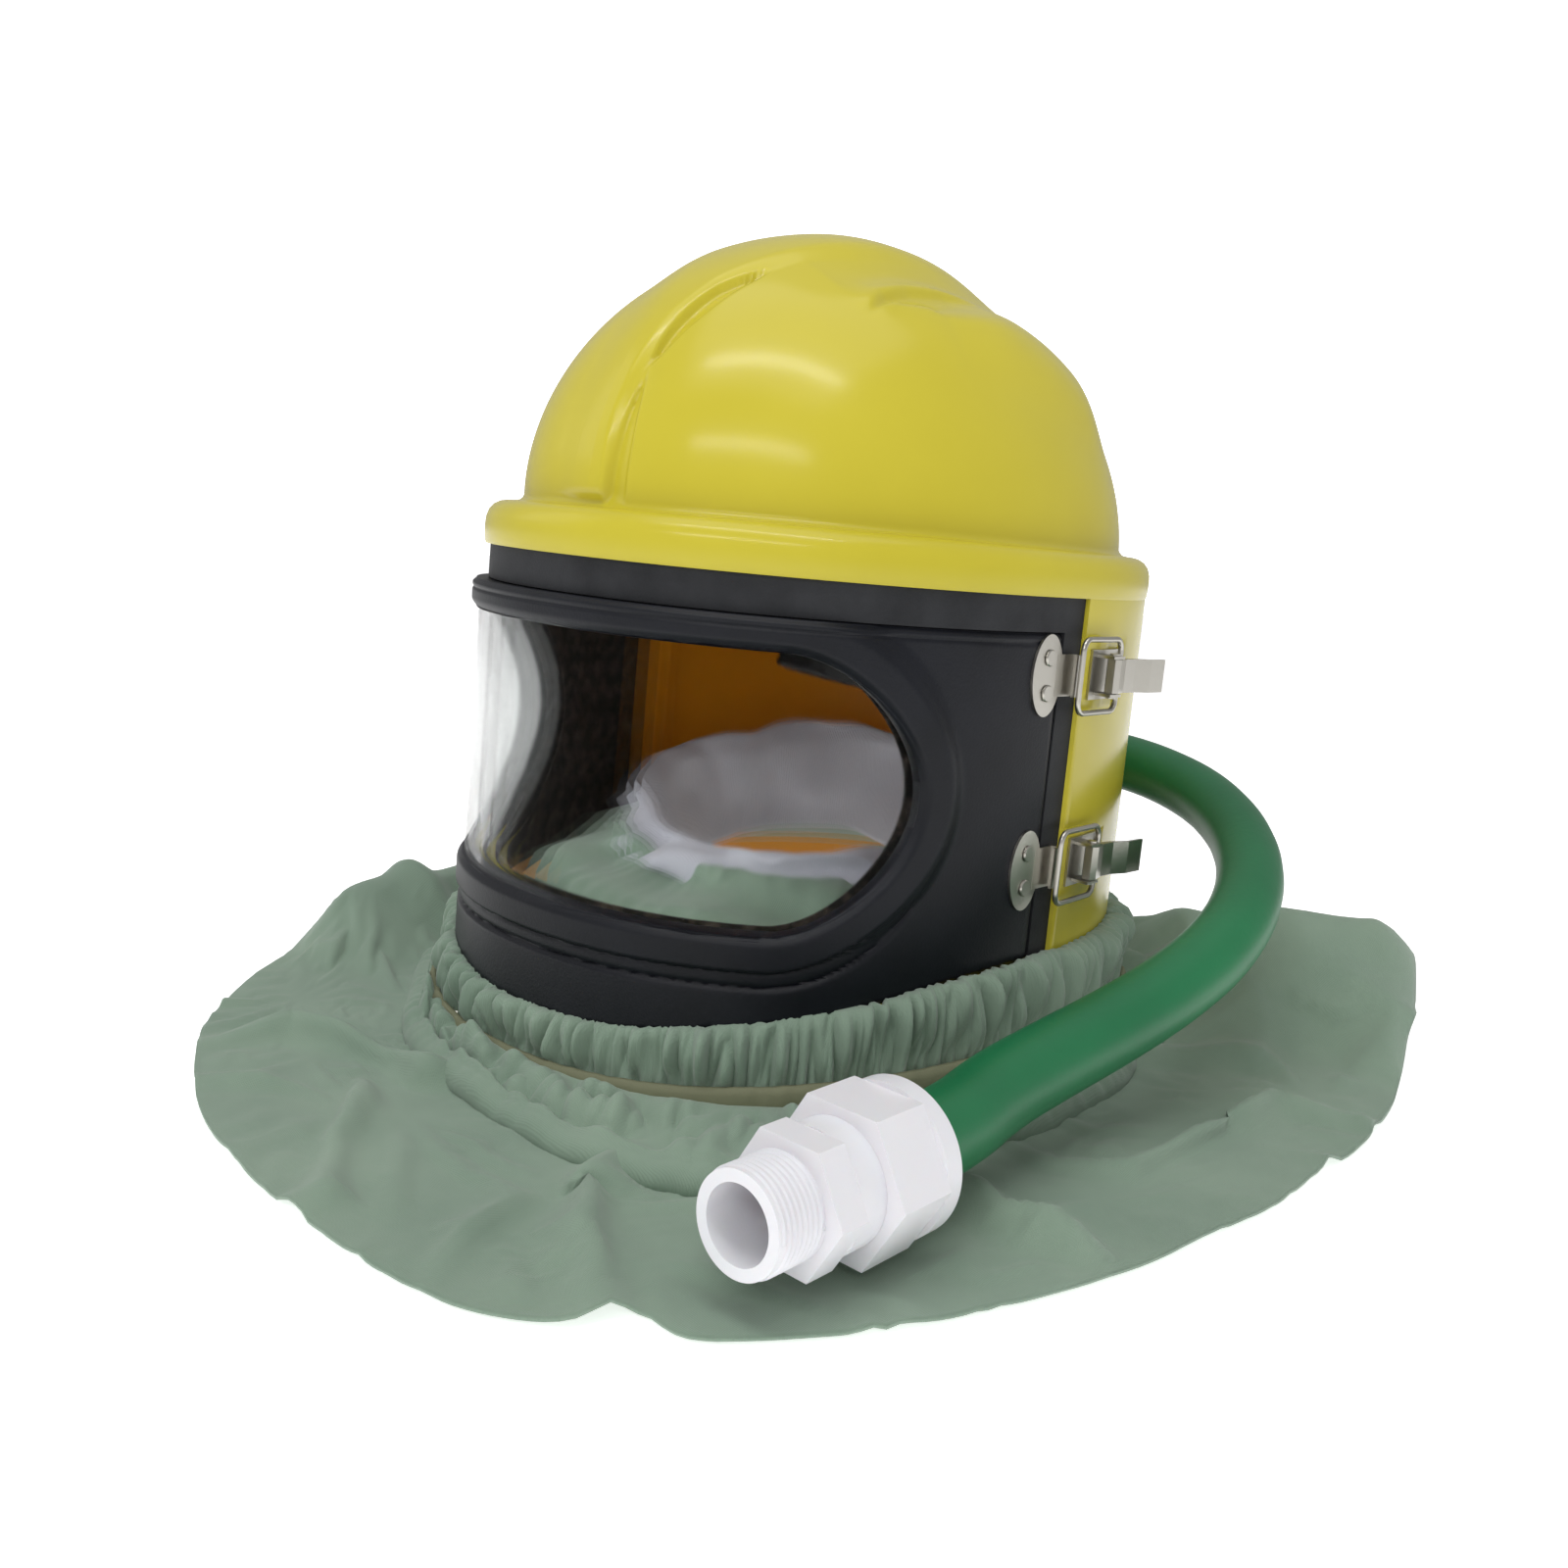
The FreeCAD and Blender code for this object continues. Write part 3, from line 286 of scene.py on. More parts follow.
def crown(points):
    """Height in mm of the crown's relief over the plain dome: crest, grooves, scoops and side swells."""
    half = points.copy()
    half[:, 0] = np.abs(half[:, 0])
    lift = np.zeros(len(half))
    edge = [(10, -153, 236), (9, -147, 270), (10, -138, 294), (12, -124, 314), (19, -105, 331), (27, -89, 341),
            (32, -73, 348), (38, -50, 353), (40, 0, 355), (38, 55, 348), (32, 95, 327)]
    gap, share = beside(half, edge)
    soft = np.where(points[:, 0] < 0, 14.0, 1.5 + 11 * share)
    lift += 2.4 * smooth(gap, -soft, soft) * (1 - smooth(share, 0.75, 1.0))
    leaves = [([(15, -153, 232), (15, -148, 262), (14, -139, 292)], 5.6, 2.6, 0.42, 0.58),
              ([(13, -138, 292), (17, -125, 312), (22, -109, 327), (31, -90, 340)], 5.4, 3.4, 0.0, 1.0)]
    for path, width, depth, start, extent in leaves:
        gap, share = beside(points, path)
        reach = np.maximum(width * np.clip(np.sin(np.pi * (start + extent * share)), 0, 1) ** 0.75, 0.05)
        across = gap / reach
        hollow = smooth(across, -1.0, -0.55) * (1 - smooth(across, 0.55, 1.0))
        hollow *= 0.7 + 0.3 * np.clip(across, -1, 1)
        lift -= depth * hollow * smooth(reach, 0.3, 3.0)
    gap, share = beside(half, [(50, -80, 339), (56, -52, 346), (60, 0, 348), (58, 60, 338)])
    lift -= 5.0 * np.exp(-(gap / 16) ** 2) * np.sin(np.pi * np.clip(share, 0.02, 0.98)) ** 0.6
    gap, share = beside(half, [(71, -78, 322), (66, -62, 334), (65, -44, 341), (66, -20, 344), (68, 20, 342)])
    reach = 3 + 22 * smooth(share, 0, 0.6)
    fade = smooth(share, 0, 0.12) * (1 - smooth(share, 0.6, 1.0))
    lift += 1.5 * np.exp(-(gap / 7) ** 2) * fade
    lift -= 3.6 * smooth(-gap, -1.5, 4.5) * (1 - smooth(-gap / reach, 0.35, 1.1)) * fade
    gap, share = beside(half, [(86, -38, 325), (90, 0, 327), (94, 45, 315), (92, 90, 296)])
    lift += 4.8 * np.exp(-np.abs(gap / 24) ** 2.4) * smooth(share, -0.1, 0.3) * (1 - smooth(share, 0.7, 1.0))
    return lift


def swept_crown():
    """Rim and dome as rings of the outline, outside and inside, closed at the tip and along the lower edge."""
    even = np.linspace(-math.pi, math.pi, 6001)
    density = 1 + 3.2 * np.exp(-((np.abs(even) - 0.2) / 0.3) ** 2)
    total = np.cumsum(density)
    columns = 460
    angles = np.interp(np.arange(columns) / columns, (total - total[0]) / (total[-1] - total[0]), even)
    rim = [(8, 216.9), (8.4, 218), (8.7, 221), (8.8, 225), (8.5, 228.5), (7.4, 231.8), (5.4, 234.2),
           (2.8, 235.7), (0, 236.3), (-3, 236.5), (-5.2, 236.9), (-6.4, 238)]
    rows = []
    for offset, height in rim:
        x, y = outline(angles, offset)
        rows.append(np.stack([x, y, np.full_like(x, height)], 1))
    lifts = np.radians(np.linspace(1.2, 89.4, 104))
    for lift in lifts:
        part, scale = math.sin(lift) ** (2 / 1.9), math.cos(lift) ** (2 / 1.9)
        x, y = outline(angles, -7)
        rows.append(np.stack([x * scale, y * scale - 8 * part, np.full_like(x, 237 + 130 * part)], 1))
    outer = np.concatenate(rows)
    first = len(rim) * columns
    dome = outer[first:]
    normal = np.stack([dome[:, 0] / 123**2, dome[:, 1] / 156**2, (dome[:, 2] - 237) / 130**2], 1)
    normal /= np.linalg.norm(normal, axis=1)[:, None]
    fade = smooth(dome[:, 2], 237, 243)
    outer[first:] = dome + normal * (crown(dome) * fade)[:, None]
    inner_rows = []
    for offset, height in ((-4, 216.9), (-4, 226), (-11, 234)):
        x, y = outline(angles, offset)
        inner_rows.append(np.stack([x, y, np.full_like(x, height)], 1))
    for lift in np.radians(np.linspace(3, 89.4, 26)):
        part, scale = math.sin(lift) ** (2 / 1.9), math.cos(lift) ** (2 / 1.9)
        x, y = outline(angles, -11)
        inner_rows.append(np.stack([x * scale, y * scale - 8 * part, np.full_like(x, 234 + 126 * part)], 1))
    count, inner_count = len(rows), len(inner_rows)
    tips = [outer[-columns:].mean(0)[None], inner_rows[-1].mean(0)[None]]
    points = np.concatenate([outer] + inner_rows + tips)
    faces = lattice(count, columns)
    faces += lattice(inner_count, columns, start=count * columns, flip=True)
    last, inner_last = (count - 1) * columns, (count + inner_count - 1) * columns
    tip, inner_tip = len(points) - 2, len(points) - 1
    for i in range(columns):
        j = (i + 1) % columns
        faces.append((last + i, last + j, tip))
        faces.append((inner_last + j, inner_last + i, inner_tip))
        faces.append((i, count * columns + i, count * columns + j, j))
    return build("crown", points, faces, 60)


def node_copy(name, source):
    """A merged copy of a CAD node's mesh as a new object."""
    mesh = bmesh.new()
    mesh.from_mesh(nodes[source].data)
    bmesh.ops.remove_doubles(mesh, verts=mesh.verts, dist=1e-5)
    data = bpy.data.meshes.new(name)
    mesh.to_mesh(data)
    mesh.free()
    obj = bpy.data.objects.new(name, data)
    bpy.context.collection.objects.link(obj)
    return obj


shell_yellow, tree, shader = material("shell_yellow", "#CDBF3C", 0.21, Specular_IOR_Level=0.32)
tint(tree, shader, mottle(tree, 6, 3), "#BCAF30", "#C6B93A")
emboss(tree, shader, mottle(tree, 24, 2), 0.05, 0.002)
# Painted shade: the inner wall is the same yellow plastic, and this darker orange copy of it stands in for the
# shade inside the shell.
shell_inside_painted_shade, tree, shader = material("shell_inside_painted_shade", "#E79613", 0.45)

shell_crown = swept_crown()
RIM_BOTTOM = 0.2169
walls = node_copy("shell_walls", "helmet_shell")
mesh = bmesh.new()
mesh.from_mesh(walls.data)
everything = mesh.verts[:] + mesh.edges[:] + mesh.faces[:]
bmesh.ops.bisect_plane(mesh, geom=everything, plane_co=(0, 0, RIM_BOTTOM), plane_no=(0, 0, 1), clear_outer=True)
mesh.to_mesh(walls.data)
mesh.free()
walls.data.shade_smooth()
walls.data.set_sharp_from_angle(angle=math.radians(35))
for part in (shell_crown, walls):
    paint(part, shell_yellow, shell_inside_painted_shade)
    centre = Vector((0, 0.003, 0))
    # Faces turned in towards the middle take the second material, the painted-shade copy of the yellow plastic.
    for face in part.data.polygons:
        away = face.center - centre
        away.z = face.center.z - 0.2 if face.center.z > 0.237 else 0
        if face.normal.dot(away) < -0.5 * away.length:
            face.material_index = 1
    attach(part, "helmet")
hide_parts("helmet_shell")

# ---------------------------------------------------------------- window frame
# Black rubber-covered door frame that follows the front wall, with a raised rounded lip round the
# window and stepped bands under it. Rings of points from the opening out to the frame's edge.


def wall_table(offset):
    """Angles of the outline and the distance along it from the front."""
    angles = np.linspace(-math.pi, math.pi, 8001)
    x, y = outline(angles, offset)
    lengths = np.concatenate([[0], np.cumsum(np.hypot(np.diff(x), np.diff(y)))])
    return angles, lengths - np.interp(0, angles, lengths)


WALL_OFFSET = 6.5
WALL_ANGLES, WALL_LENGTHS = wall_table(WALL_OFFSET)


def on_wall(along, offset, height):
    """Points at a distance along the wall from the front, off it and above the floor."""
    x, y = outline(np.interp(along, WALL_LENGTHS, WALL_ANGLES), offset)
    return np.stack([x, y, np.broadcast_to(height, x.shape)], -1)


def along_of_x(x):
    """Distance along the wall of points at x on the lens."""
    sine = np.sign(x) * (np.abs(x) / 139.5) ** 1.1
    return np.interp(np.arcsin(sine), WALL_ANGLES, WALL_LENGTHS)


def along_of_y(y, side):
    """Distance along the wall of a point at y, on the side of +X (1) or -X (-1)."""
    angles = np.linspace(0, math.pi, 4001) * side
    return np.interp(np.interp(y, outline(angles, WALL_OFFSET)[1], angles), WALL_ANGLES, WALL_LENGTHS)


def neck_drop(y):
    """How far the helmet's lower edge dips towards the front."""
    return 25 * (np.minimum(y, 0) / 160) ** 2


def frame_bottom(along):
    """Height of the window frame's lower edge."""
    return 58 - neck_drop(on_wall(along, WALL_OFFSET, 0)[..., 1])


WINDOW_FLAT, WINDOW_REACH, WINDOW_HALF_HEIGHT, WINDOW_CENTRE = 94, 32, 55, 133.5
FLAT_POINTS, TURN_POINTS = 140, 119


def window_line():
    """The window's edge as (distance along the wall, height), clockwise from the top left."""
    turn = np.linspace(math.pi / 2, -math.pi / 2, TURN_POINTS + 2)[1:-1]
    flat = np.linspace(-WINDOW_FLAT, WINDOW_FLAT, FLAT_POINTS)
    end = WINDOW_FLAT + WINDOW_REACH * np.cos(turn)
    level = np.full(FLAT_POINTS, WINDOW_HALF_HEIGHT)
    rise = WINDOW_HALF_HEIGHT * np.sin(turn)
    x = np.concatenate([flat, end, flat[::-1], -end[::-1]])
    z = np.concatenate([level, rise, -level, rise[::-1]])
    return along_of_x(x), z + WINDOW_CENTRE


def rings_round_window(left, right, top_height, bottom_of):
    """(distance along the wall, height) of rings from the window's edge out to a frame's edge."""
    inner_a, inner_z = window_line()
    top_a = np.linspace(left, right, FLAT_POINTS)
    part = np.linspace(0, 1, TURN_POINTS + 2)[1:-1]
    outer_a = np.concatenate([top_a, np.full(TURN_POINTS, right), top_a[::-1], np.full(TURN_POINTS, left)])
    outer_z = np.concatenate([
        np.full(FLAT_POINTS, top_height), top_height + (bottom_of(right) - top_height) * part,
        bottom_of(top_a[::-1]), bottom_of(left) + (top_height - bottom_of(left)) * part])
    shares = np.linspace(0, 1, 64) ** 1.7
    along = inner_a + (outer_a - inner_a) * shares[:, None]
    return along, inner_z + (outer_z - inner_z) * shares[:, None]


def wall_plate(name, along, height, outer_offset, inner_offset):
    """A closed plate on the helmet's wall from rings of points round the window."""
    rows, columns = along.shape
    sheets = [on_wall(along.ravel(), np.broadcast_to(offset, along.shape).ravel(), height.ravel())
              for offset in (outer_offset, inner_offset)]
    size = rows * columns
    faces = lattice(rows, columns) + lattice(rows, columns, start=size, flip=True)
    for i in range(columns):
        j = (i + 1) % columns
        faces.append((i, size + i, size + j, j))
        a, b = (rows - 1) * columns + i, (rows - 1) * columns + j
        faces.append((b, size + b, size + a, a))
    return build(name, np.concatenate(sheets), faces, 50)


def window_frame():
    """The rubber-covered frame: a raised lip round the window, stepped bands under it, thin outer edges."""
    left, right = along_of_y(-14.5, -1), along_of_y(-3.5, 1)
    along, height = rings_round_window(left, right, 201.5, frame_bottom)
    inner_a, inner_z = window_line()
    edge = np.stack([inner_a, inner_z], 1)
    flat = np.stack([along.ravel(), height.ravel()], 1)
    distance = np.concatenate([np.linalg.norm(block[:, None] - edge[None], axis=2).min(1)
                               for block in np.array_split(flat, 40)])
    distance = distance.reshape(along.shape)
    bottom = frame_bottom(along)
    above = height - bottom
    sides = WALL_OFFSET + 6 * (1 - smooth(distance, 13, 24))
    below = smooth(WINDOW_CENTRE - height, 20, 50)
    front = (1 - smooth(np.abs(along), 125, 190)) * below
    offset = np.maximum(sides, WALL_OFFSET + 5.2 * front * (1 - smooth(np.abs(along), 140, 200)))
    offset = offset - 4.0 * (1 - smooth(distance, -2, 4.5)) ** 1.2
    offset -= front * 1.1 * smooth(distance, 13.4, 15.0)
    offset += front * 0.7 * smooth(distance, 20.5, 22.0)
    offset -= front * 1.2 * np.exp(-((distance - 20.6) / 0.9) ** 2)
    offset -= front * 0.9 * np.exp(-((distance - 14.6) / 0.8) ** 2)
    offset -= 1.4 * (1 - smooth(above, 0, 2.5))
    offset -= 1.6 * smooth(height, 199.3, 201.5)
    offset -= 0.6 * np.exp(-((height - 197.4) / 0.7) ** 2)
    offset -= 1.4 * smooth(along, right - 2.0, right) + 1.4 * (1 - smooth(along, left, left + 2.0))
    return wall_plate("window_rubber", along, height, offset, 2.9)


frame_rubber, tree, shader = material("frame_rubber", "#14171D", 0.45, Specular_IOR_Level=0.25)
tint(tree, shader, mottle(tree, 30, 6), "#0C0E14", "#14161D")
emboss(tree, shader, mottle(tree, 900, 3), 0.25, 0.0004)
window_rubber = window_frame()
paint(window_rubber, frame_rubber)
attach(window_rubber, "window_door")
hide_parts("window_frame")

# ---------------------------------------------------------------- window gasket
# Softer grey-black rubber seal between the shell and the frame, showing as a strip above it.

gasket_rubber, tree, shader = material("gasket_rubber", "#26272A", 0.62, Specular_IOR_Level=0.25)
tint(tree, shader, mottle(tree, 40, 5), "#1F2023", "#2E2F32")
emboss(tree, shader, mottle(tree, 1100, 2), 0.3, 0.0004)
finish_nodes(gasket_rubber, "window_gasket", "inlet_gasket")
dusty_rubber, tree, shader = material("dusty_rubber", "#2B2725", 0.85, Specular_IOR_Level=0.2)
tint(tree, shader, mottle(tree, 160, 8), "#211E1D", "#4A423B", 0.45, 0.75)
emboss(tree, shader, mottle(tree, 700, 3), 0.4, 0.0006)
along, height = rings_round_window(along_of_y(3, -1), along_of_y(3, 1), 214, lambda a: frame_bottom(a) + 4)
lining = wall_plate("gasket_lining", along, height, -4.1, -5.4)
paint(lining, dusty_rubber)
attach(lining, "helmet")

# ---------------------------------------------------------------- lenses
# Two clear polycarbonate sheets bent to the wall.

lens_clear, tree, shader = material("lens_clear", "#F3F6F5", 0.03, Transmission_Weight=1.0, IOR=1.05, Alpha=0.3)
finish_nodes(lens_clear, "outer_lens", "inner_lens")

# ---------------------------------------------------------------- latches, hinges and screws
# Pressed and bent stainless steel, satin from tumbling.

steel, tree, shader = material("steel", "#B9B6AE", 0.3, Metallic=1.0)
emboss(tree, shader, mottle(tree, 500, 4), 0.1, 0.0004)
finish_nodes(steel, *[n for n in nodes if any(word in n for word in (
    "leaf", "hinge_pins", "strike", "latch", "lever_pins", "screws", "hose_clamp"))])

# ---------------------------------------------------------------- head harness
# Moulded nylon band and ratchet with vinyl-covered pads and webbing over the crown.

harness_plastic, tree, shader = material("harness_plastic", "#17181A", 0.45)
finish_nodes(harness_plastic, "headband", "ratchet_housing", "suspension_arms", "ratchet_knob", "inlet_flange",
             "air_duct")
vinyl_black, tree, shader = material("vinyl_black", "#0D0D0F", 0.28)
emboss(tree, shader, mottle(tree, 120, 3), 0.5, 0.002)


def keep(obj, modifier):
    """Makes the result of a modifier the object's own mesh."""
    data = bpy.data.meshes.new_from_object(obj.evaluated_get(bpy.context.evaluated_depsgraph_get()))
    obj.modifiers.remove(modifier)
    obj.data = data


def play(frames):
    """Steps the simulation through its frames."""
    for step in range(1, frames + 1):
        bpy.context.scene.frame_set(step)


def cushion(name, source, voxel, pressure, limit):
    """A CAD pad's copy remeshed and blown up as a closed cover, no point moving further than limit."""
    obj = node_copy(name, source)
    remesh = obj.modifiers.new("remesh", "REMESH")
    remesh.mode, remesh.voxel_size = "VOXEL", voxel
    keep(obj, remesh)
    start = np.array([vertex.co for vertex in obj.data.vertices])
    cloth = obj.modifiers.new("cloth", "CLOTH")
    cloth.settings.use_pressure = True
    cloth.settings.uniform_pressure_force = pressure
    cloth.settings.effector_weights.gravity = 0
    play(20)
    keep(obj, cloth)
    bpy.context.scene.frame_set(1)
    moved = np.array([vertex.co for vertex in obj.data.vertices]) - start
    far = np.linalg.norm(moved, axis=1, keepdims=True)
    moved *= np.minimum(1, limit / np.maximum(far, 1e-9))
    for vertex, place in zip(obj.data.vertices, start + moved):
        vertex.co = place
    rounder = obj.modifiers.new("rounder", "SUBSURF")
    rounder.levels = rounder.render_levels = 1
    keep(obj, rounder)
    obj.data.shade_smooth()
    return obj


for source, name in (("brow_pad", "brow_cushion"), ("nape_pad", "nape_cushion")):
    pad = cushion(name, source, 0.0022, 4, 0.0012)
    paint(pad, vinyl_black)
    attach(pad, "helmet")
    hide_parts(source)
webbing, tree, shader = material("webbing", "#1C1D20", 0.85)
finish_nodes(webbing, "side_crown_strap", "long_crown_strap")

# ---------------------------------------------------------------- inlet and fitting
# White injection-moulded elbow, hose nut and threaded body; grey silencer foam inside the elbow's mouth.

fitting_white, tree, shader = material("fitting_white", "#E4E2E6", 0.38, Subsurface_Weight=0.08)
emboss(tree, shader, mottle(tree, 700, 3), 0.12, 0.0004)
finish_nodes(fitting_white, "inlet_elbow", "fitting_body", "fitting_nut")


def thread_ridges():
    """A helical ridge standing on the fitting's spigot, which points along -Y."""
    turns, pitch, around_count = 8, 2.3, 72
    profile = [(0, 16.3), (0.5, 16.6), (0.95, 17.3), (1.35, 17.3), (1.8, 16.6), (2.3, 16.3)]
    steps = turns * around_count
    points = []
    for along_profile, radius in profile:
        for step in range(steps):
            turn = 2 * math.pi * step / around_count
            y = -240.2 + pitch * step / around_count + along_profile * 0.98
            points.append((190.5 + radius * math.cos(turn), y, 34.5 + radius * math.sin(turn)))
    return build("thread", points, lattice(len(profile), steps, loop=False), 70)


thread = thread_ridges()
paint(thread, fitting_white)
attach(thread, "helmet")
foam_grey, tree, shader = material("foam_grey", "#4A4C50", 0.95)
finish_nodes(foam_grey, "silencer_foam")

# ---------------------------------------------------------------- neck ruffle
# Elastic gathered collar of cape cloth under the frame: one ring of points with crowded folds.


def cloth_material(name, dark, light, thread):
    """Woven cloth of two shades; thread is the scale of the weave."""
    made, tree, shader = material(name, dark, 0.92, Sheen_Weight=0.25, Sheen_Roughness=0.5)
    tint(tree, shader, mottle(tree, 14, 6), dark, light)
    place = add(tree, "ShaderNodeTexCoord")
    waves = []
    for direction in ("X", "Y"):
        wave = add(tree, "ShaderNodeTexWave", [("Vector", place.outputs["Object"]), ("Scale", thread)],
                   bands_direction=direction)
        waves.append(wave.outputs["Fac"])
    both = add(tree, "ShaderNodeMath", [(0, waves[0]), (1, waves[1])], operation="ADD")
    grain = add(tree, "ShaderNodeMath", [(0, both.outputs[0]), (1, mottle(tree, 700, 3))], operation="ADD")
    emboss(tree, shader, grain.outputs[0], 0.25, 0.0004)
    return made


cape_cloth = cloth_material("cape_cloth", "#788D7C", "#879B89", 500)
cuff_cloth = cloth_material("cuff_cloth", "#B3B3BE", "#C3C3CC", 350)
tape_olive, tree, shader = material("tape_olive", "#74765C", 0.8)
emboss(tree, shader, mottle(tree, 900, 3), 0.3, 0.0005)


def wander(points, scale, seed):
    """Smooth noise at each point, about -1 to 1."""
    shift = Vector((seed * 17.3, seed * 5.1, seed * 9.7))
    return np.array([noise.noise(Vector(p) * scale + shift) for p in points])


def thicken(obj, thickness):
    """Gives a sheet its thickness and keeps the result as its mesh."""
    change = obj.modifiers.new("thickness", "SOLIDIFY")
    change.thickness = thickness
    change.offset = 0
    keep(obj, change)


def neck_ruffle():
    """The collar as rings of crowded puffs and creases."""
    columns = 1300
    angles, around = ring_angles(columns)
    x0, y0 = outline(angles, 12)
    profile = [(8.6, 59), (10.4, 60.5), (13, 60), (15.4, 57.5), (16.6, 53.5), (17, 49), (17.2, 44), (17, 39.5),
               (16.4, 35.5), (15.8, 31.5), (15.6, 28), (15.8, 24.5)]
    rows = []
    for level, (offset, height) in enumerate(profile):
        share = level / (len(profile) - 1)
        puffs = np.abs(wander(np.column_stack([around * 27, np.full(columns, share * 1.2)]), 1.0, 3))
        creases = np.abs(wander(np.column_stack([around * 52, np.full(columns, share * 1.0)]), 1.0, 5))
        sway = wander(np.column_stack([around * 8, np.full(columns, share * 2.0)]), 1.0, 9)
        size = 1.2 + 3.4 * math.sin(math.pi * min(max(share, 0.1), 0.9))
        push = offset - 1.2 + size * (3.0 * puffs - 0.6) + 2.2 * (2 * creases - 0.4) + 0.8 * sway
        x, y = outline(angles, push)
        lift = 0.9 * wander(np.stack([x0 / 22, y0 / 22, np.full_like(x0, share)], 1), 1.0, 8)
        rows.append(np.stack([x, y, height + lift - neck_drop(y0) * (1 - 0.6 * share)], 1))
    obj = build("collar", np.concatenate(rows), lattice(len(profile), columns, flip=True), 180)
    thicken(obj, 0.0008)
    return obj


collar = neck_ruffle()
paint(collar, cape_cloth)
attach(collar, "helmet")
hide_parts("neck_ruffle")

# ---------------------------------------------------------------- tape
# Woven binding sewn round under the collar.


def neck_band():
    """The tape as rings pulled in and out by its stitches."""
    columns = 1100
    angles, around = ring_angles(columns)
    y0 = outline(angles, 12)[1]
    profile = [(18.4, 28), (20, 27.8), (20.9, 25.5), (21.1, 22), (21.1, 19), (20.9, 16.5), (20, 15.2), (18.4, 15)]
    rows = []
    for level, (offset, height) in enumerate(profile):
        pull = wander(np.column_stack([around * 30, np.full(columns, level * 0.15)]), 1.0, 6)
        x, y = outline(angles, offset + 0.7 * pull)
        rows.append(np.stack([x, y, height + 0.6 * pull - 0.4 * neck_drop(y0)], 1))
    obj = build("tape_band", np.concatenate(rows), lattice(len(profile), columns, flip=True), 180)
    thicken(obj, 0.0008)
    return obj


band = neck_band()
paint(band, tape_olive)
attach(band, "helmet")
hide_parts("neck_tape")

# ---------------------------------------------------------------- cape
# Grey-green cloth cape lying on the floor round the neck: a yoke gathered under the tape with a rolled
# edge, then the skirt out to the hem. A radial grid, dropped as cloth on to the floor.

HEM = [(0, -292), (70, -298), (130, -290), (176, -262), (214, -214), (240, -150), (255, -70), (264, 10),
       (262, 95), (250, 170), (224, 238), (165, 282), (80, 298), (-20, 296), (-120, 280), (-200, 240),
       (-250, 170), (-264, 90), (-262, 0), (-244, -70), (-212, -130), (-160, -198), (-105, -252), (-52, -280)]


def closed_curve(points, angles):
    """Radius at each angle of a closed curve through points, eased between them."""
    points = np.array(points, float)
    bearing = np.unwrap(np.arctan2(points[:, 0], -points[:, 1]))
    order = np.argsort(bearing)
    radius = np.hypot(points[:, 0], points[:, 1])
    turn = 2 * math.pi
    spread = np.concatenate([bearing[order] - turn, bearing[order], bearing[order] + turn])
    return np.interp(angles, spread, np.tile(radius[order], 3))


def rounded(values, width):
    """Moving average round a ring."""
    kernel = np.hanning(width)
    kernel /= kernel.sum()
    return np.convolve(np.concatenate([values[-width:], values, values[:width]]), kernel, "same")[width:-width]


def near_path(x, y, path):
    """Distance of points from a path on the floor and the fraction along it."""
    best, share = np.full(x.shape, 1e9), np.zeros(x.shape)
    path = np.array(path, float)
    count = len(path) - 1
    for number, (start, end) in enumerate(zip(path[:-1], path[1:])):
        line = end - start
        reach = np.clip(((x - start[0]) * line[0] + (y - start[1]) * line[1]) / (line @ line), 0, 1)
        distance = np.hypot(x - start[0] - reach * line[0], y - start[1] - reach * line[1])
        share = np.where(distance < best, (number + reach) / count, share)
        best = np.minimum(best, distance)
    return best, share


# Folds of the skirt in mm: (path on the floor, height, half width); a negative height is a dip.
FOLDS = [
    ([(162, -262), (128, -245), (102, -219), (92, -196)], 11, 9),
    ([(150, -272), (112, -250), (84, -226)], -5, 12),
    ([(-94, -252), (-86, -222), (-39, -207), (-10, -204)], 15, 10),
    ([(-110, -235), (-70, -200), (-30, -190)], -5, 10), ([(-18, -226), (18, -262), (50, -286)], 9, 9),
    ([(-190, -170), (-196, -100), (-190, -20), (-196, 70)], 20, 26),
    ([(-150, -150), (-190, -185)], 10, 12), ([(-165, -90), (-225, -105), (-246, -112)], 11, 10),
    ([(192, -67), (215, -47), (221, 9), (227, 65), (259, 76)], 8, 7),
    ([(176, -110), (205, -120), (232, -118)], 9, 10),
    ([(160, 85), (197, 45), (210, 93)], -6, 12), ([(150, 60), (188, 100), (236, 120)], 12, 14),
    ([(228, 240), (190, 215), (150, 190)], 44, 42), ([(226, 255), (238, 190), (248, 150)], 18, 26),
    ([(80, 240), (120, 285)], 16, 20), ([(-20, 230), (-40, 285)], 16, 18), ([(-120, 200), (-170, 250)], 18, 20),
]


CAPE_COLUMNS = 420


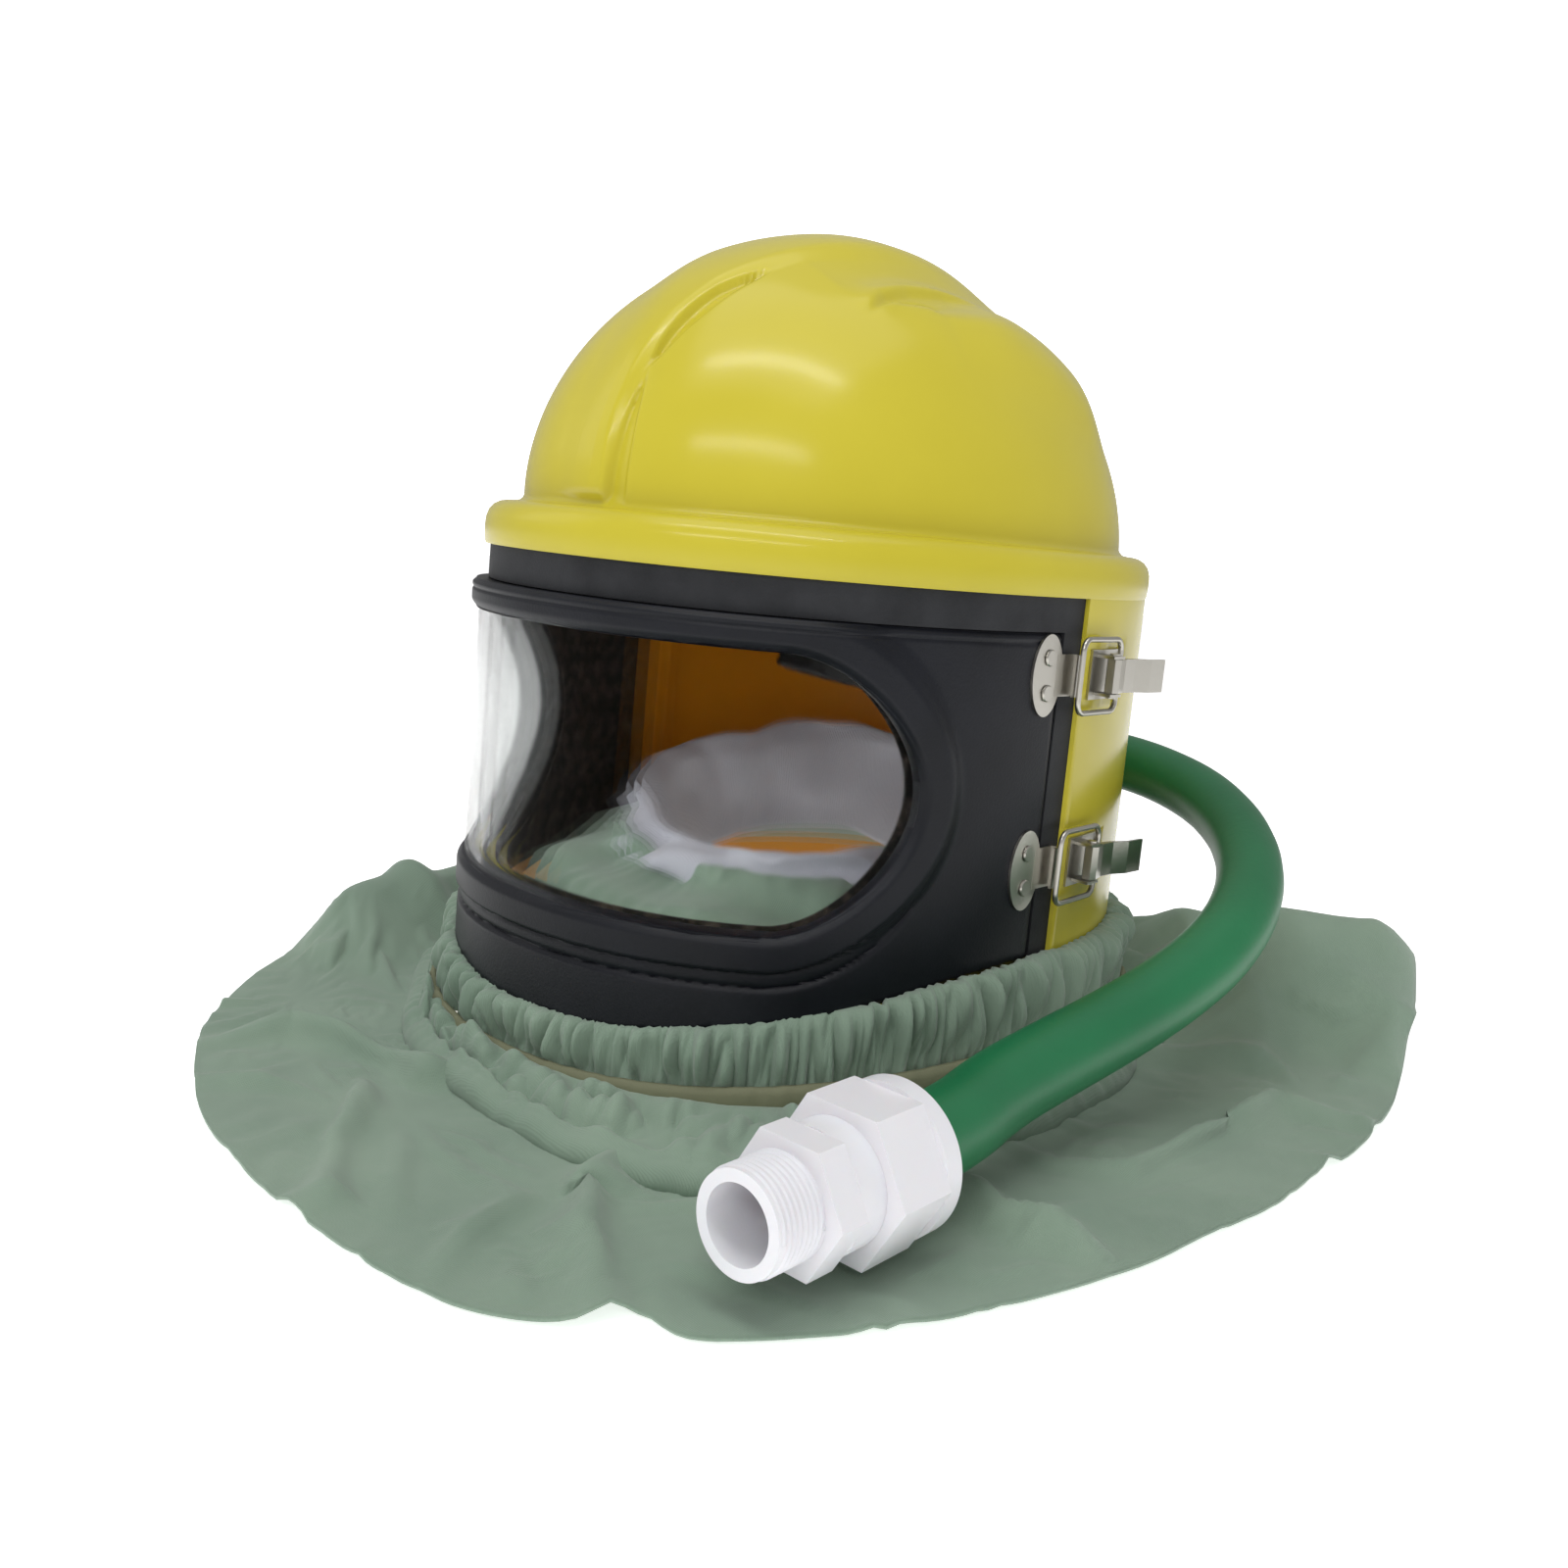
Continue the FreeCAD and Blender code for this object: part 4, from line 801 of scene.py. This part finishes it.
def cape_sheet():
    """The skirt before it is dropped: from the neck to the hem, raised along the folds."""
    columns, rows = CAPE_COLUMNS, 66
    angles = ring_angles(columns)[0]
    neck_x, neck_y = outline(angles, 20)
    bearing = np.arctan2(neck_x, -neck_y)
    hem = rounded(closed_curve(HEM, bearing), 9)
    hem = hem - 12 * np.exp(-((bearing - math.atan2(164, 249)) / 0.035) ** 2)
    hem_x, hem_y = hem * np.sin(bearing), -hem * np.cos(bearing)
    points = []
    for row in range(rows):
        share = row / (rows - 1)
        x = neck_x + (hem_x - neck_x) * share
        y = neck_y + (hem_y - neck_y) * share
        run_out = share * np.hypot(hem_x - neck_x, hem_y - neck_y)
        lift = 3.5 + 9 * (1 - smooth(run_out, 0, 12)) + 4 * smooth(run_out, 20, 60) * (1 - smooth(share, 0.6, 1))
        for path, height, width in FOLDS:
            distance, part = near_path(x, y, path)
            lift = lift + height * np.exp(-np.abs(distance / width) ** 1.7) * smooth(part, -0.25, 0.3)
        wide = wander(np.stack([x / 75, y / 75, np.zeros_like(x)], 1), 1.0, 11)
        spokes = np.stack([np.cos(bearing) * 5, np.sin(bearing) * 5, np.full_like(x, share * 1.2)], 1)
        radial = wander(spokes, 1.0, 4)
        fine = wander(np.stack([x / 26, y / 26, np.zeros_like(x)], 1), 1.0, 21)
        swell = 9 * (1 - np.abs(wide) * 2.2) * smooth(share, 0.1, 0.5) * (1 - 0.6 * smooth(share, 0.75, 1))
        lift = lift + swell + 8 * radial * smooth(share, 0.05, 0.3)
        lift = lift + 2.2 * fine * smooth(share, 0.1, 0.4)
        points.append(np.stack([x, y, np.maximum(lift, 1.5 + 0.5 * fine)], 1))
    return build("cape_sheet", np.concatenate(points), lattice(rows, columns, flip=True), 180)


def settle(obj, held, frames, growth, stiffness):
    """Drops a sheet as cloth on to the floor with the held points fixed, and keeps the result."""
    rest = bpy.data.objects.new("rest", floor_data.copy())
    bpy.context.collection.objects.link(rest)
    rest.modifiers.new("collision", "COLLISION")
    rest.collision.thickness_outer = 0.0015
    rest.collision.cloth_friction = 30
    group = obj.vertex_groups.new(name="held")
    group.add([int(i) for i in held], 1.0, "REPLACE")
    cloth = obj.modifiers.new("cloth", "CLOTH")
    cloth.settings.quality = 6
    cloth.settings.effector_weights.gravity = 0.22
    cloth.settings.mass = 0.15
    cloth.settings.tension_stiffness = 14
    cloth.settings.compression_stiffness = 14
    cloth.settings.shear_stiffness = 8
    cloth.settings.bending_stiffness = stiffness
    cloth.settings.vertex_group_mass = "held"
    cloth.settings.shrink_min = -growth
    cloth.collision_settings.distance_min = 0.0015
    cloth.collision_settings.collision_quality = 2
    play(frames)
    keep(obj, cloth)
    for vertex in obj.data.vertices:
        vertex.co.z = max(vertex.co.z, 0.0008)
    bpy.data.objects.remove(rest)
    bpy.context.scene.frame_set(1)


cape = cape_sheet()
neck = range(CAPE_COLUMNS * 2)
high = [v.index for v in cape.data.vertices if v.co.z > 0.03]
settle(cape, [*neck, *high], frames=14, growth=0.012, stiffness=8)
thicken(cape, 0.0012)
paint(cape, cape_cloth)
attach(cape, "helmet")
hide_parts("cape")

# ---------------------------------------------------------------- yoke
# Second gathered ring of the cape, sewn under the tape and ending in a soft rolled fold on the cape.

ROLL = [(-99, -149), (-56, -179), (-28, -191), (34, -202), (82, -204), (118, -192), (143, -170), (155, -146),
        (159, -120), (164, -65), (168, -6), (160, 54), (150, 110), (130, 165), (80, 205), (0, 215), (-80, 205),
        (-130, 165), (-150, 110), (-160, 40), (-160, -20), (-152, -70), (-132, -115)]


def yoke_sheet():
    """The gathered yoke out to its roll, then the curl of the roll itself."""
    columns = 1000
    angles = ring_angles(columns)[0]
    neck_x, neck_y = outline(angles, 18.5)
    bearing = np.arctan2(neck_x, -neck_y)
    edge = rounded(closed_curve(ROLL, bearing), 25)
    edge_x, edge_y = edge * np.sin(bearing), -edge * np.cos(bearing)
    length = np.hypot(edge_x - neck_x, edge_y - neck_y)
    away_x, away_y = (edge_x - neck_x) / length, (edge_y - neck_y) / length
    around = np.stack([np.cos(bearing), np.sin(bearing)], 1)
    profile = [(s, 0.0) for s in np.linspace(0, 1, 26)]
    profile += [(1.0, a) for a in np.radians(np.linspace(20, 200, 10))]
    rows = []
    for share, curl in profile:
        tight = np.abs(wander(np.column_stack([around * 8, np.full(columns, share * 1.5)]), 1.0, 31))
        crowd = np.abs(wander(np.column_stack([around * 21, np.full(columns, share * 1.5)]), 1.0, 33))
        drift = wander(np.column_stack([around * 2.6, np.full(columns, share * 2.0)]), 1.0, 35)
        middle = smooth(share, 0.0, 0.45) * (1 - 0.75 * smooth(share, 0.75, 1.0))
        out = share * length + 7 * math.sin(curl)
        rise = 13 - 6 * share + 7 * math.sin(math.pi * share) ** 0.8 + 5 * math.exp(-((share - 0.97) / 0.1) ** 2)
        rise -= 7 * (1 - math.cos(curl))
        folds = (12 * (tight * 2 - 0.5) + 4 * (crowd * 2 - 0.4)) * middle + 2.5 * drift * share
        wave = 5 * drift * share + 2.5 * (crowd - 0.2) * (1 - share)
        x = neck_x + away_x * (out + wave) + 6 * drift * share * away_y
        y = neck_y + away_y * (out + wave) - 6 * drift * share * away_x
        rows.append(np.stack([x, y, np.maximum(rise + folds * (0.4 + 0.6 * math.cos(curl / 2)), 2.5)], 1))
    obj = build("yoke", np.concatenate(rows), lattice(len(profile), columns, flip=True), 180)
    thicken(obj, 0.001)
    return obj


yoke = yoke_sheet()
paint(yoke, cape_cloth)
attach(yoke, "helmet")

# ---------------------------------------------------------------- inner bib and cuff
# Green bib gathered to the neck inside the helmet, and the pale knitted cuff on top of it.


def tube_sheet(name, columns, levels, seed, gather, slack):
    """A sleeve of cloth through ellipses: (half width, half length, y shift, height, tilt, share of slack)."""
    angles, around = ring_angles(columns)
    rows = []
    steps = np.linspace(0, len(levels) - 1, 44)
    for step in steps:
        values = [np.interp(step, range(len(levels)), [level[i] for level in levels]) for i in range(6)]
        half_x, half_y, shift, height, tilt, slackness = values
        share = step / steps[-1]
        fold = wander(np.column_stack([around * gather, np.full(columns, share * 1.5)]), 1.0, seed)
        bulge = wander(np.column_stack([around * 2.2, np.full(columns, share * 3.0)]), 1.0, seed + 1)
        push = slack * slackness * (0.55 * (0.35 - np.abs(fold)) * 2 + bulge)
        x = (half_x + push) * np.sin(angles)
        y = shift - (half_y + push) * np.cos(angles)
        z = height - tilt * np.cos(angles - 0.5) + 0.9 * slack * slackness * bulge
        rows.append(np.stack([x, y, z], 1))
    obj = build(name, np.concatenate(rows), lattice(len(rows), columns, flip=True), 180)
    thicken(obj, 0.001)
    return obj


BIB = [(119, 146, 3, 50, 6, 0), (112, 138, 3, 66, 6, 0.6), (100, 122, 3, 78, 8, 1), (88, 106, 3, 90, 11, 1),
       (80, 96, 3, 98, 14, 0.9), (74, 88, 3, 92, 14, 0.5)]
bib = tube_sheet("bib", 520, BIB, seed=41, gather=7, slack=9)
paint(bib, cape_cloth)
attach(bib, "helmet")
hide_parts("inner_bib")

CUFF = [(64, 78, 3, 66, 6, 0.3), (66, 80, 3, 84, 10, 0.6), (69, 84, 3, 104, 18, 0.8), (73, 88, 3, 112, 20, 0.8),
        (79, 94, 3, 106, 18, 1), (85, 101, 3, 92, 14, 1)]
cuff = tube_sheet("cuff", 420, CUFF, seed=51, gather=3, slack=11)
paint(cuff, cuff_cloth)
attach(cuff, "helmet")
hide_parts("inner_cuff")
